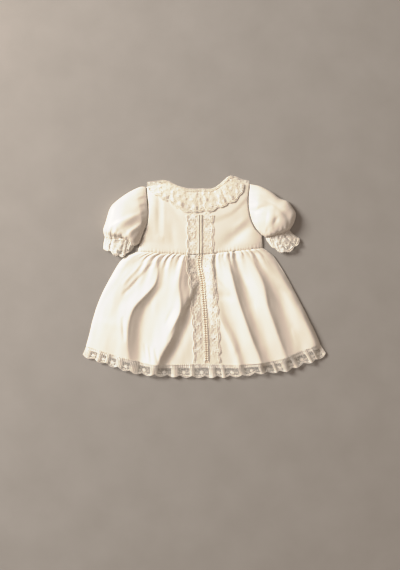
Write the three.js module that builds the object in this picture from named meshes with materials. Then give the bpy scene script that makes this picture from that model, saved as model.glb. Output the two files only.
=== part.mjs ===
import * as THREE from "three";

// A baby's christening gown of ivory satin, laid flat on its back, seen from above.
// X runs to the viewer's right, Y towards the neck and Z up from the surface it lies on.
// Every piece is a wall of cloth or lace. Left and right are as the viewer sees them.

// Walls and seams, in millimetres
const CLOTH = 1.2;
const LACE = 1.0;
const TRIM = 1.6;
const SEAM = 0.3;

// How far the cloth stands up from the layer under it
const BODICE_RISE = 5;
const ARMHOLE_RISE = 4;
const SKIRT_RISE = 4;
const EDGE_ROUND = 10;
const NECK_ROUND = 12;
const ARMHOLE_REACH = 20;
const SLEEVE_EDGE = 3.4;

// The back bodice drops off the collar under it between these distances below the collar's edge
const COLLAR_STEP = { from: 11, to: 24 };

// How full the puffs and ruffles are from side to side: 1 is a sine, less is fuller
const FULLNESS = 0.7;

// A wall on a slope is made higher so that it stays as thick as its cloth, up to this much
const MOST_LIFT = 1.8;
const PROBE = 0.5;

// Gathers of the skirt under the waist seam
const GATHERS = 20;
const GATHER_RISE = 2.6;
const GATHER_FADE = 26;
const TRIM_CALM = { from: 16, to: 30, middle: -6 };

// Lace of the hem and the cuffs: scallops, and the large gaps of the net cut through
const HEM_SCALLOPS = 20;
const CELLS_PER_SCALLOP = 6;
const HEM_SCALLOP_DEPTH = 4;
const HEM_RUFFLE = { rise: 1.8, ends: 14, edgeShare: 0.35 };
const CUFF_SCALLOPS = 4;
const CUFF_SCALLOP_DEPTH = 3;
const CUFF_RUFFLE = 2.2;
const CUFF_RISE = { edge: 5, elastic: 6.5 };
const COLLAR_SCALLOPS = 9;
const COLLAR_SCALLOP_DEPTH = 3;
const COLLAR_RUFFLES = 16;
const COLLAR_RUFFLE = 1.6;
const COLLAR_REACH = 3;
const MEAN_SCALLOP = 0.64;

// The trim and the two lace strips down the centre front
const TRIM_WIDTH = 6.6;
const STRIP_WIDTH = 19;
const STRIP_SCALLOP = 25;
const STRIP_SCALLOP_DEPTH = 2.4;
const STRIP_TOP = 117;
const STRIP_LOW = -163;

// Outlines of the pieces, one row for each point that the shape needs
const WAIST = [
  { x: -125.4, y: 48 },
  { x: -78, y: 44.7 },
  { x: -32, y: 42.7 },
  { x: -6, y: 42.6 },
  { x: 42, y: 47 },
  { x: 87.5, y: 51.8 },
  { x: 111.4, y: 54.4 },
];
const NECK_AND_SHOULDERS = [
  { x: -109.6, y: 170 },
  { x: -88, y: 174.6 },
  { x: -68, y: 179.4 },
  { x: -49.4, y: 172.4 },
  { x: -29, y: 167 },
  { x: -6, y: 166.6 },
  { x: 17, y: 167.5 },
  { x: 33, y: 178 },
  { x: 48.4, y: 190 },
  { x: 68.4, y: 183.1 },
  { x: 87.4, y: 175.7 },
];
const ARMHOLE_LEFT = [
  { x: -121.5, y: 64.5 },
  { x: -114, y: 85 },
  { x: -108, y: 100 },
  { x: -106, y: 124 },
  { x: -109.6, y: 170 },
];
const ARMHOLE_RIGHT = [
  { x: 109.5, y: 78.5 },
  { x: 97, y: 93 },
  { x: 88.5, y: 112 },
  { x: 84.4, y: 140 },
  { x: 87.4, y: 175.7 },
];
const SKIRT_LEFT = [
  { x: -224, y: -132.5 },
  { x: -218.5, y: -112.5 },
  { x: -211, y: -82 },
  { x: -201.5, y: -52 },
  { x: -188, y: -21.5 },
  { x: -167, y: 16.6 },
  { x: -157.7, y: 29.9 },
  { x: -146, y: 39.4 },
  { x: -125.4, y: 48 },
];
const SKIRT_RIGHT = [
  { x: 220.5, y: -128.7 },
  { x: 210.9, y: -105 },
  { x: 199.5, y: -82.2 },
  { x: 184.3, y: -51.8 },
  { x: 155.8, y: 1.4 },
  { x: 136.8, y: 31.8 },
  { x: 128, y: 42.5 },
  { x: 111.4, y: 54.4 },
];
const HEM = [
  { x: -224, y: -132.5 },
  { x: -203, y: -138 },
  { x: -175, y: -147 },
  { x: -122, y: -161 },
  { x: -86, y: -167 },
  { x: -42, y: -166.7 },
  { x: 0, y: -165.8 },
  { x: 59, y: -167.5 },
  { x: 115, y: -163 },
  { x: 154, y: -153.5 },
  { x: 192, y: -138 },
  { x: 220.5, y: -128.7 },
];
const HEM_LACE_EDGE = [
  { x: -231.2, y: -149.6 },
  { x: -207, y: -158.2 },
  { x: -150, y: -177.2 },
  { x: -117.8, y: -184.8 },
  { x: -83.6, y: -187.6 },
  { x: -7.6, y: -190.3 },
  { x: 68.4, y: -188.6 },
  { x: 102.6, y: -183.5 },
  { x: 155, y: -178.5 },
  { x: 186.2, y: -166.5 },
  { x: 210.9, y: -159.1 },
  { x: 232.8, y: -146.8 },
];

// Sleeve outlines, from the body outwards
const SLEEVES = {
  left: {
    under: [
      { x: -121.5, y: 64.5 },
      { x: -127, y: 60.5 },
      { x: -132.5, y: 58 },
    ],
    over: [
      { x: -109.6, y: 170 },
      { x: -121, y: 170.4 },
      { x: -144.4, y: 159 },
      { x: -167, y: 142.5 },
      { x: -178.2, y: 129.3 },
      { x: -186.6, y: 102.7 },
      { x: -191, y: 88 },
      { x: -188, y: 74.5 },
    ],
    elastic: [
      { x: -132.5, y: 58 },
      { x: -143, y: 66 },
      { x: -157, y: 71 },
      { x: -171, y: 70.5 },
      { x: -188, y: 74.5 },
    ],
    laceEdge: [
      { x: -134, y: 52.5 },
      { x: -143.5, y: 46 },
      { x: -153, y: 38.5 },
      { x: -169, y: 41 },
      { x: -180.5, y: 49 },
      { x: -191.3, y: 51 },
    ],
    laceFar: [
      { x: -188, y: 74.5 },
      { x: -190.2, y: 64 },
      { x: -191.3, y: 51 },
    ],
    creases: [
      { fromX: -108, fromY: 123, toX: -176, toY: 92, rise: 3, width: 7 },
      { fromX: -112, fromY: 103, toX: -143, toY: 76, rise: 3, width: 6 },
      { fromX: -125, fromY: 112, toX: -160, toY: 92, rise: -2.5, width: 5 },
      { fromX: -112, fromY: 150, toX: -150, toY: 135, rise: -2, width: 9 },
      { fromX: -166, fromY: 90, toX: -164, toY: 76, rise: 3, width: 5 },
    ],
  },
  right: {
    under: [
      { x: 109.5, y: 78.5 },
      { x: 113, y: 77 },
      { x: 116.5, y: 74 },
    ],
    over: [
      { x: 87.4, y: 175.7 },
      { x: 106.4, y: 171.7 },
      { x: 127.3, y: 161 },
      { x: 144, y: 148.5 },
      { x: 158, y: 143 },
      { x: 167, y: 132 },
      { x: 174.2, y: 119 },
      { x: 170.5, y: 102 },
      { x: 162.3, y: 88.3 },
    ],
    elastic: [
      { x: 116.5, y: 74 },
      { x: 134, y: 76.5 },
      { x: 150, y: 80 },
      { x: 162.3, y: 88.3 },
    ],
    laceEdge: [
      { x: 119.7, y: 66 },
      { x: 134, y: 52.6 },
      { x: 150, y: 46 },
      { x: 164.3, y: 49.5 },
      { x: 176.7, y: 60.3 },
      { x: 182.5, y: 72 },
    ],
    laceFar: [
      { x: 162.3, y: 88.3 },
      { x: 170, y: 80.5 },
      { x: 182.5, y: 72 },
    ],
    creases: [
      { fromX: 90, fromY: 160, toX: 134, toY: 151, rise: 3, width: 5 },
      { fromX: 90, fromY: 148, toX: 120, toY: 141, rise: -3, width: 5 },
      { fromX: 120, fromY: 141, toX: 150, toY: 118, rise: -3, width: 6 },
      { fromX: 94, fromY: 118, toX: 104, toY: 130, rise: -3, width: 5 },
      { fromX: 120, fromY: 112, toX: 136, toY: 104, rise: 5, width: 15 },
      { fromX: 150, fromY: 110, toX: 154, toY: 98, rise: -3, width: 5 },
    ],
  },
};
const SLEEVE_PUFF = [
  { along: 0, rise: 4.5 },
  { along: 0.2, rise: 16 },
  { along: 0.5, rise: 22 },
  { along: 0.8, rise: 16 },
  { along: 1, rise: 6 },
];
const HEAD_GATHERS = { count: 7, rise: 1.2, at: 0.12, width: 0.12 };
const CUFF_GATHERS = { count: 6, rise: 1.4, from: 0.6 };

// The lace collar: its neck edge and its free edge, in front and at the back
const COLLAR_NECK = [
  { x: -86, y: 178.5 },
  { x: -68, y: 181.2 },
  { x: -49.4, y: 172.9 },
  { x: -29, y: 167.3 },
  { x: -6, y: 166.8 },
  { x: 17, y: 167.8 },
  { x: 33, y: 178.6 },
  { x: 48.4, y: 191 },
  { x: 60.8, y: 189 },
];
const COLLAR_FREE = [
  { x: -108, y: 166.7 },
  { x: -86, y: 150.4 },
  { x: -64.6, y: 140 },
  { x: -40, y: 123.5 },
  { x: -6, y: 122.6 },
  { x: 17, y: 125 },
  { x: 36, y: 133 },
  { x: 56, y: 141.6 },
  { x: 69, y: 153.4 },
  { x: 77, y: 173 },
];
const BACK_COLLAR_LEFT = {
  neck: [
    { x: -108.5, y: 180.5 },
    { x: -87, y: 182.6 },
    { x: -78, y: 184 },
    { x: -66.5, y: 181.4 },
    { x: -49.4, y: 172.9 },
    { x: -29, y: 167.3 },
    { x: -6, y: 166.8 },
  ],
  free: [
    { x: -108, y: 164 },
    { x: -86, y: 149 },
    { x: -64, y: 138 },
    { x: -40, y: 127 },
    { x: -6, y: 122.6 },
  ],
};
const BACK_COLLAR_RIGHT = {
  neck: [
    { x: -6, y: 166.8 },
    { x: 17, y: 167.8 },
    { x: 33, y: 179.2 },
    { x: 45, y: 190 },
    { x: 58, y: 191.5 },
    { x: 72, y: 186 },
    { x: 86.5, y: 183 },
  ],
  free: [
    { x: -6, y: 122.6 },
    { x: 17, y: 124 },
    { x: 38, y: 131 },
    { x: 58, y: 142 },
    { x: 85.5, y: 166.5 },
  ],
};

// The line that the trim follows down the centre front
const TRIM_LINE = {
  bodice: [
    { x: -7.5, y: STRIP_TOP },
    { x: -7.5, y: 42.6 },
  ],
  skirt: [
    { x: -7.5, y: 42.6 },
    { x: -9, y: 25 },
    { x: -3.4, y: -6 },
    { x: 0.3, y: -52 },
    { x: 3.4, y: -100 },
    { x: 5.2, y: STRIP_LOW },
  ],
};

// Places down the skirt: waist, upper, middle, lower and hem
const LEVELS = [46, -12, -63, -116, -166];

// The large folds of the skirt: where each crest or trough runs at the five levels,
// how far it rises or sinks there, and how far it spreads to the left and right.
// A large fold is a narrow one and a wide one on the same crest, steep at first and then gentle.
const FOLDS = [
  { x: [-118, -150, -172, -184, -190], rise: [0, 1.5, 2.5, 3.5, 2.5], left: 18, right: 20 },
  { x: [-93, -95, -137, -147, -143], rise: [1, 3, 4, 5, 4], left: 22, right: 14 },
  { x: [-93, -95, -137, -147, -143], rise: [0, 2, 2.5, 3, 2.5], left: 22, right: 28 },
  { x: [-78, -78, -112, -121, -118], rise: [0, -1.5, -1.5, -2, -1.5], left: 10, right: 12 },
  { x: [-44, -50, -47, -64, -90], rise: [1, 5, 6, 6.5, 5.5], left: 26, right: 15 },
  { x: [-44, -50, -47, -64, -90], rise: [0, 3, 4, 4, 3], left: 26, right: 44 },
  { x: [-26, -12, -26, -46, -70], rise: [-1, -2, -3, -3, -2], left: 12, right: 14 },
  { x: [20, 22, 28, 51, 66], rise: [0, 0, 1.5, 4, 3], left: 9, right: 8 },
  { x: [42, 54, 69, 88, 106], rise: [1, 5, 5.5, 5.5, 4.5], left: 16, right: 15 },
  { x: [42, 54, 69, 88, 106], rise: [0, 2.5, 3, 3, 2.5], left: 16, right: 24 },
  { x: [84, 109, 120, 139, 156], rise: [1, 5, 5.5, 5.5, 4.5], left: 20, right: 16 },
  { x: [84, 109, 120, 139, 156], rise: [0, 2.5, 3, 3, 2.5], left: 20, right: 32 },
  { x: [110, 150, 178, 206, 212], rise: [0, 2.5, 4, 5, 4], left: 20, right: 15 },
];
const SKIRT_CREASES = [
  { fromX: -99, fromY: 28, toX: -144, toY: -21, rise: 2, width: 6 },
  { fromX: -105, fromY: 20, toX: -150, toY: -32, rise: -1.5, width: 5 },
];
const BODICE_CREASES = [
  { fromX: -84, fromY: 168, toX: -85, toY: 84, rise: -2.2, width: 9 },
  { fromX: 94, fromY: 104, toX: 40, toY: 60, rise: -3, width: 11 },
  { fromX: -60, fromY: 60, toX: -104, toY: 66, rise: -1, width: 10 },
];

// How many cells each wall has across and along
const GRID = {
  skirtFront: { across: 80, along: [0, 0.12, 0.25, 0.38, 0.5, 0.61, 0.71, 0.8, 0.87, 0.93, 0.97, 1] },
  skirtBack: { across: 20, along: 5 },
  bodice: { side: 2, armhole: 12, frontAcross: 26, backAcross: 6 },
  sleeve: { along: 10 },
  cuff: { across: 12 },
  collar: { across: 45, along: 4 },
  backCollar: { across: 16, along: 3 },
  stripLength: 6.2,
  stripReach: 2,
};
// Shares of the lace's depth from its edge to its heading; the gaps lie in the middle band
const LACE_BANDS = [0, 0.36, 0.73, 1];
const GAP_BAND = 1;

// Small tools for lines, tables and waves
const reversed = (rows) => [...rows].reverse();
const firstOf = (low, high) => [low[0], high[0]];
const lastOf = (low, high) => [low.at(-1), high.at(-1)];
const steps = (count) => Array.from({ length: count + 1 }, (_, i) => i / count);

function line(rows) {
  return new THREE.SplineCurve(rows.map(({ x, y }) => new THREE.Vector2(x, y)));
}

// A side of the bodice: the side seam up to the underarm, a corner there, then the armhole
function sideLine(waistEnd, armhole) {
  const [seam, hole] = [line([waistEnd, armhole[0]]), line(armhole)];
  const corner = GRID.bodice.side / (GRID.bodice.side + GRID.bodice.armhole);
  const getPointAt = (share) => {
    if (share < corner) return seam.getPointAt(share / corner);
    return hole.getPointAt((share - corner) / (1 - corner));
  };
  return { getPointAt };
}

// A smooth value through a short list of values at known places, which run up or down
function through(places, values, at) {
  const last = places.length - 1;
  const up = places[last] > places[0] ? 1 : -1;
  let i = 0;
  while (i < last - 1 && (at - places[i + 1]) * up > 0) i += 1;
  const t = THREE.MathUtils.clamp((at - places[i]) / (places[i + 1] - places[i]), 0, 1);
  const before = values[Math.max(i - 1, 0)];
  const [a, b] = [values[i], values[i + 1]];
  const after = values[Math.min(i + 2, last)];
  const slope = b - before;
  const bend = 2 * before - 5 * a + 4 * b - after;
  const twist = 3 * (a - b) + after - before;
  return a + 0.5 * t * (slope + t * (bend + t * twist));
}

const xOn = (rows, y) => through(rows.map((row) => row.y), rows.map((row) => row.x), y);
const yOn = (rows, x) => through(rows.map((row) => row.x), rows.map((row) => row.y), x);
const rounded = (distance, size) => 1 - Math.exp(-Math.max(distance, 0) / size);
const wave = (turns) => 0.5 + 0.5 * Math.cos(2 * Math.PI * turns);
const hill = (distance, width) => Math.exp(-((distance / width) ** 2));

// Soft creases along straight lines, as ridges or troughs
function creases(rows, x, y) {
  return rows.reduce((sum, { fromX, fromY, toX, toY, rise, width }) => {
    const [dx, dy] = [toX - fromX, toY - fromY];
    const share = ((x - fromX) * dx + (y - fromY) * dy) / (dx * dx + dy * dy);
    const near = THREE.MathUtils.clamp(share, 0, 1);
    const gap = Math.hypot(x - fromX - near * dx, y - fromY - near * dy);
    return sum + rise * hill(gap, width);
  }, 0);
}

// A patch between four lines: low and high run from left to right, left and right from low to high.
// It stops half a seam inside its outline.
function patch(...sides) {
  const [low, high, left, right] = sides.map((side) => (Array.isArray(side) ? line(side) : side));
  const at = (u, v) => {
    const [a, b] = [low.getPointAt(u), high.getPointAt(u)];
    const [c, d] = [left.getPointAt(v), right.getPointAt(v)];
    const corners = [
      [low.getPointAt(0), (1 - u) * (1 - v)],
      [low.getPointAt(1), u * (1 - v)],
      [high.getPointAt(0), (1 - u) * v],
      [high.getPointAt(1), u * v],
    ];
    const p = a.multiplyScalar(1 - v).add(b.multiplyScalar(v));
    p.add(c.multiplyScalar(1 - u)).add(d.multiplyScalar(u));
    corners.forEach(([corner, share]) => p.sub(corner.multiplyScalar(share)));
    return p;
  };
  return (u, v) => {
    const width = at(0, v).distanceTo(at(1, v));
    const height = at(u, 0).distanceTo(at(u, 1));
    const acrossInset = SEAM / 2 / Math.max(width, SEAM);
    const alongInset = SEAM / 2 / Math.max(height, SEAM);
    return at(
      THREE.MathUtils.lerp(acrossInset, 1 - acrossInset, u),
      THREE.MathUtils.lerp(alongInset, 1 - alongInset, v),
    );
  };
}

// A closed body from points and faces, its faces turned outwards
function body(points, faces) {
  const volume = faces.reduce((sum, [a, b, c]) => {
    return sum + points[a].dot(points[b].clone().cross(points[c])) / 6;
  }, 0);
  const outward = volume < 0 ? faces.map(([a, b, c]) => [a, c, b]) : faces;
  const geometry = new THREE.BufferGeometry();
  geometry.setAttribute(
    "position",
    new THREE.Float32BufferAttribute(points.flatMap((p) => [p.x, p.y, p.z]), 3),
  );
  geometry.setIndex(outward.flat());
  geometry.computeVertexNormals();
  return geometry;
}

// A wall of cloth over a grid of places. underside(x, y, u, v) is the height of its lower face,
// and the wall is as thick as the cloth, measured square to it. keep(i, j) drops the cells of gaps.
function wall({ place, underside, thick, us, vs, keep = () => true }) {
  const points = [];
  for (const v of vs) {
    for (const u of us) {
      const { x, y } = place(u, v);
      const z = underside(x, y, u, v);
      const slopeX = (underside(x + PROBE, y, u, v) - z) / PROBE;
      const slopeY = (underside(x, y + PROBE, u, v) - z) / PROBE;
      const lift = Math.min(Math.hypot(1, slopeX, slopeY), MOST_LIFT);
      points.push(new THREE.Vector3(x, y, z), new THREE.Vector3(x, y, z + thick * lift));
    }
  }
  const [columns, rows] = [us.length - 1, vs.length - 1];
  const kept = (i, j) => i >= 0 && j >= 0 && i < columns && j < rows && keep(i, j);
  const low = (i, j) => 2 * (j * us.length + i);
  const faces = [];
  const quad = (a, b, c, d) => faces.push([a, b, c], [a, c, d]);
  const side = (i, j, k, l) => quad(low(i, j), low(k, l), low(k, l) + 1, low(i, j) + 1);
  for (let j = 0; j < rows; j += 1) {
    for (let i = 0; i < columns; i += 1) {
      if (!kept(i, j)) continue;
      const [a, b, c, d] = [low(i, j), low(i + 1, j), low(i + 1, j + 1), low(i, j + 1)];
      quad(a + 1, b + 1, c + 1, d + 1);
      quad(a, d, c, b);
      if (!kept(i, j - 1)) side(i, j, i + 1, j);
      if (!kept(i + 1, j)) side(i + 1, j, i + 1, j + 1);
      if (!kept(i, j + 1)) side(i + 1, j + 1, i, j + 1);
      if (!kept(i - 1, j)) side(i, j + 1, i, j);
    }
  }
  const used = new Map();
  const packed = [];
  const renumbered = faces.map((face) => face.map((old) => {
    if (!used.has(old)) {
      used.set(old, packed.length);
      packed.push(points[old]);
    }
    return used.get(old);
  }));
  return body(packed, renumbered);
}

const colour = { satin: "#f1e9dc", lace: "#f4ecdd", trim: "#efe2cb" };
const gown = new THREE.Group();
function add(name, geometry, cloth, roughness) {
  const material = new THREE.MeshStandardMaterial({ color: colour[cloth], roughness, metalness: 0 });
  const mesh = new THREE.Mesh(geometry, material);
  mesh.name = name;
  gown.add(mesh);
  return mesh;
}

// Height of the back bodice's underside: it lies over the back collar and drops to the surface below it
function backHeight(x, y) {
  const free = x < -6 ? BACK_COLLAR_LEFT.free : BACK_COLLAR_RIGHT.free;
  const edge = yOn(free, THREE.MathUtils.clamp(x, free[0].x, free.at(-1).x));
  return (LACE + SEAM) * THREE.MathUtils.smoothstep(y, edge - COLLAR_STEP.to, edge - COLLAR_STEP.from);
}

const SIDE_LEFT = [WAIST[0], ...ARMHOLE_LEFT];
const SIDE_RIGHT = [WAIST.at(-1), ...ARMHOLE_RIGHT];
const SIDES = {
  left: sideLine(WAIST[0], ARMHOLE_LEFT),
  right: sideLine(WAIST.at(-1), ARMHOLE_RIGHT),
};

function bodiceFrontHeight(x, y) {
  const toSide = Math.min(x - xOn(SIDE_LEFT, y), xOn(SIDE_RIGHT, y) - x);
  const toTop = yOn(NECK_AND_SHOULDERS, x) - y;
  const armhole = x < 0 ? ARMHOLE_LEFT : ARMHOLE_RIGHT;
  const share = (y - armhole[0].y) / (armhole.at(-1).y - armhole[0].y);
  const open = Math.sin(Math.PI * THREE.MathUtils.clamp(share, 0, 1));
  const atArmhole = ARMHOLE_RISE * open * (1 - rounded(toSide, ARMHOLE_REACH));
  const rise = BODICE_RISE * rounded(toSide, EDGE_ROUND) + atArmhole;
  const soft = creases(BODICE_CREASES, x, y) * rounded(toSide, EDGE_ROUND);
  return backHeight(x, y) + CLOTH + SEAM + (rise + soft) * rounded(toTop, NECK_ROUND);
}

// Height of the skirt front's underside: a low rise, the large folds, and gathers at the waist
function skirtFrontHeight(x, y) {
  const [left, right] = [xOn(SKIRT_LEFT, y), xOn(SKIRT_RIGHT, y)];
  const toSide = Math.min(x - left, right - x);
  const large = FOLDS.reduce((sum, fold) => {
    const offset = x - through(LEVELS, fold.x, y);
    return sum + through(LEVELS, fold.rise, y) * hill(offset, offset < 0 ? fold.left : fold.right);
  }, 0);
  const share = (x - left) / (right - left);
  const belowWaist = yOn(WAIST, x) - y;
  const calm = THREE.MathUtils.smoothstep(Math.abs(x - TRIM_CALM.middle), TRIM_CALM.from, TRIM_CALM.to);
  const gathers = GATHER_RISE * calm * (1 - wave(GATHERS * share)) * (1 - rounded(belowWaist, GATHER_FADE));
  const height = SKIRT_RISE + large + creases(SKIRT_CREASES, x, y) + gathers;
  const above = (height + Math.hypot(height, 1)) / 2;
  return CLOTH + SEAM + above * rounded(toSide, EDGE_ROUND);
}

const BODICE_ROWS = steps(GRID.bodice.side + GRID.bodice.armhole);

// Bodice: the front in one piece, the back in two that meet at the centre back
add("bodice_front", wall({
  place: patch(WAIST, NECK_AND_SHOULDERS, SIDES.left, SIDES.right),
  underside: bodiceFrontHeight,
  thick: CLOTH,
  us: steps(GRID.bodice.frontAcross),
  vs: BODICE_ROWS,
}), "satin", 0.5);

const MIDDLE = WAIST.findIndex((row) => row.x === -6);
const NECK_MIDDLE = NECK_AND_SHOULDERS.findIndex((row) => row.x === -6);
const CENTRE_BACK = [WAIST[MIDDLE], NECK_AND_SHOULDERS[NECK_MIDDLE]];
const BACKS = {
  left: patch(
    WAIST.slice(0, MIDDLE + 1), NECK_AND_SHOULDERS.slice(0, NECK_MIDDLE + 1), SIDES.left, CENTRE_BACK,
  ),
  right: patch(WAIST.slice(MIDDLE), NECK_AND_SHOULDERS.slice(NECK_MIDDLE), CENTRE_BACK, SIDES.right),
};
for (const side of ["left", "right"]) {
  add(`bodice_back_${side}`, wall({
    place: BACKS[side],
    underside: backHeight,
    thick: CLOTH,
    us: steps(GRID.bodice.backAcross),
    vs: BODICE_ROWS,
  }), "satin", 0.5);
}

// Skirt: a gathered front over a plain back
const skirtPlace = patch(HEM, WAIST, SKIRT_LEFT, SKIRT_RIGHT);
add("skirt_front", wall({
  place: skirtPlace,
  underside: skirtFrontHeight,
  thick: CLOTH,
  us: steps(GRID.skirtFront.across),
  vs: GRID.skirtFront.along,
}), "satin", 0.5);
add("skirt_back", wall({
  place: skirtPlace,
  underside: () => 0,
  thick: CLOTH,
  us: steps(GRID.skirtBack.across),
  vs: steps(GRID.skirtBack.along),
}), "satin", 0.5);

// Puff sleeves: tubes of cloth, flat where they lie, gathered into the armhole and the elastic
function sleeveTop(sleeve, x, y, u, v) {
  const bulge = Math.sin(Math.PI * v) ** FULLNESS;
  const puff = through(SLEEVE_PUFF.map((row) => row.along), SLEEVE_PUFF.map((row) => row.rise), u);
  const head = HEAD_GATHERS.rise * Math.cos(2 * Math.PI * HEAD_GATHERS.count * v)
    * hill(u - HEAD_GATHERS.at, HEAD_GATHERS.width);
  const cuff = CUFF_GATHERS.rise * Math.cos(2 * Math.PI * CUFF_GATHERS.count * v)
    * THREE.MathUtils.smoothstep(u, CUFF_GATHERS.from, 1);
  const soft = creases(sleeve.creases, x, y) * Math.sin(Math.PI * u);
  return SLEEVE_EDGE + (puff + head + cuff + soft) * bulge;
}

function sleeveTube(sleeve, armhole) {
  const place = patch(sleeve.under, sleeve.over, armhole, sleeve.elastic);
  const { along } = GRID.sleeve;
  const across = steps(GRID.bodice.armhole);
  const ring = [
    ...across.map((v) => ({ v, lower: true })),
    ...reversed(across).map((v) => ({ v, lower: false })),
  ];
  const outer = steps(along).map((u) => ring.map(({ v, lower }) => {
    const { x, y } = place(u, v);
    return new THREE.Vector3(x, y, lower ? 0 : sleeveTop(sleeve, x, y, u, v));
  }));
  const count = ring.length;
  const turn = Math.sign(place(1, 0.5).x - place(0, 0.5).x);
  const inner = outer.map((points, i) => points.map((p, k) => {
    const round = points[(k + 1) % count].clone().sub(points[(k + count - 1) % count]);
    const length = outer[Math.min(i + 1, along)][k].clone().sub(outer[Math.max(i - 1, 0)][k]);
    if (i === 0 || i === along) {
      const far = place(1, ring[k].v).sub(place(0, ring[k].v));
      const square = new THREE.Vector3(round.y, -round.x, 0);
      length.copy(square.multiplyScalar(Math.sign(square.x * far.x + square.y * far.y)));
    }
    const inward = length.cross(round).normalize().multiplyScalar(turn);
    return p.clone().addScaledVector(inward, CLOTH);
  }));
  const points = [...outer.flat(), ...inner.flat()];
  const out = (i, k) => i * count + (k % count);
  const inside = (i, k) => outer.length * count + out(i, k);
  const faces = [];
  const quad = (a, b, c, d) => faces.push([a, b, c], [a, c, d]);
  for (let k = 0; k < count; k += 1) {
    for (let i = 0; i < along; i += 1) {
      quad(out(i, k), out(i + 1, k), out(i + 1, k + 1), out(i, k + 1));
      quad(inside(i, k), inside(i, k + 1), inside(i + 1, k + 1), inside(i + 1, k));
    }
    quad(out(0, k), out(0, k + 1), inside(0, k + 1), inside(0, k));
    quad(out(along, k), inside(along, k), inside(along, k + 1), out(along, k + 1));
  }
  return body(points, faces);
}

// The lace sewn to the hem and the cuffs, with a scalloped edge. Its depth runs from the edge, 0, to 1.
function scalloped(place, count, depth) {
  return (u, v) => {
    const p = place(u, v);
    const out = place(u, 0).sub(place(u, 1)).normalize();
    const bump = Math.abs(Math.sin(Math.PI * count * u)) - MEAN_SCALLOP;
    return p.addScaledVector(out, depth * bump * (1 - v) ** 2);
  };
}
const inHemGap = (i, j) => j === GAP_BAND && i % CELLS_PER_SCALLOP >= 2 && i % CELLS_PER_SCALLOP <= 4;
const inCuffGap = (i, j) => j === GAP_BAND && i > 4 && (i % 4 === 1 || i % 4 === 2);

for (const [side, sleeve] of Object.entries(SLEEVES)) {
  add(`sleeve_${side}`, sleeveTube(sleeve, side === "left" ? ARMHOLE_LEFT : ARMHOLE_RIGHT), "satin", 0.5);
  const { laceEdge, elastic, laceFar } = sleeve;
  const outline = patch(laceEdge, elastic, firstOf(laceEdge, elastic), reversed(laceFar));
  const place = scalloped(outline, CUFF_SCALLOPS, CUFF_SCALLOP_DEPTH);
  const heading = (x, y, u, v) => {
    const bulge = Math.sin(Math.PI * THREE.MathUtils.clamp(u, 0, 1)) ** FULLNESS;
    const ruffle = CUFF_RUFFLE * wave(CUFF_GATHERS.count * u) * (1 - v / 2);
    return LACE + SEAM + (THREE.MathUtils.lerp(CUFF_RISE.edge, CUFF_RISE.elastic, v) + ruffle) * bulge;
  };
  const layers = { top: heading, under: () => 0 };
  for (const [layer, underside] of Object.entries(layers)) {
    add(`cuff_lace_${side}_${layer}`, wall({
      place,
      underside,
      thick: LACE,
      us: steps(GRID.cuff.across),
      vs: LACE_BANDS,
      keep: (i, j) => !inCuffGap(i, j),
    }), "lace", 0.8);
  }
}

const hemPlace = scalloped(
  patch(HEM_LACE_EDGE, HEM, firstOf(HEM_LACE_EDGE, HEM), lastOf(HEM_LACE_EDGE, HEM)),
  HEM_SCALLOPS, HEM_SCALLOP_DEPTH,
);
function hemLaceHeight(x, y, u, v) {
  const onHem = THREE.MathUtils.clamp(x, HEM[0].x, HEM.at(-1).x);
  const skirt = skirtFrontHeight(onHem, Math.max(y, yOn(HEM, onHem))) - CLOTH - SEAM;
  const ends = Math.min(1, HEM_RUFFLE.ends * Math.min(u, 1 - u));
  const ruffle = HEM_RUFFLE.rise * wave(HEM_SCALLOPS * u) * (1 - v / 2) * ends;
  return LACE + SEAM + Math.max(skirt, 0) * THREE.MathUtils.lerp(HEM_RUFFLE.edgeShare, 1, v) + ruffle;
}
const hemLayers = { front: hemLaceHeight, back: () => 0 };
for (const [layer, underside] of Object.entries(hemLayers)) {
  add(`hem_lace_${layer}`, wall({
    place: hemPlace,
    underside,
    thick: LACE,
    us: steps(HEM_SCALLOPS * CELLS_PER_SCALLOP),
    vs: LACE_BANDS,
    keep: (i, j) => !inHemGap(i, j),
  }), "lace", 0.8);
}

// What lies on a panel is made from the panel's own upper face, moved out
function onTopOf(names) {
  const ray = new THREE.Raycaster();
  const down = new THREE.Vector3(0, 0, -1);
  const panels = names.map((name) => gown.getObjectByName(name));
  panels.forEach((panel) => panel.geometry.computeBoundingSphere());
  return (x, y) => {
    ray.set(new THREE.Vector3(x, y, 100), down);
    const hit = ray.intersectObjects(panels, false)[0];
    return hit ? hit.point.z : 0;
  };
}
function highestNear(height, x, y, reach) {
  const places = [[0, 0], [reach, 0], [-reach, 0], [0, reach], [0, -reach]];
  return Math.max(...places.map(([dx, dy]) => height(x + dx, y + dy)));
}

// Collar of gathered lace, over the front and under the back
const bodiceTop = onTopOf(["bodice_front"]);
const shoulderHeight = LACE + SEAM + CLOTH + SEAM + CLOTH;
add("collar_front", wall({
  place: scalloped(
    patch(COLLAR_FREE, COLLAR_NECK, firstOf(COLLAR_FREE, COLLAR_NECK), lastOf(COLLAR_FREE, COLLAR_NECK)),
    COLLAR_SCALLOPS, COLLAR_SCALLOP_DEPTH,
  ),
  underside: (x, y, u, v) => {
    const ruffle = COLLAR_RUFFLE * wave(COLLAR_RUFFLES * u) * (1 - v);
    return Math.max(highestNear(bodiceTop, x, y, COLLAR_REACH), shoulderHeight) + SEAM + ruffle;
  },
  thick: LACE,
  us: steps(GRID.collar.across),
  vs: steps(GRID.collar.along),
}), "lace", 0.8);

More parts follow.
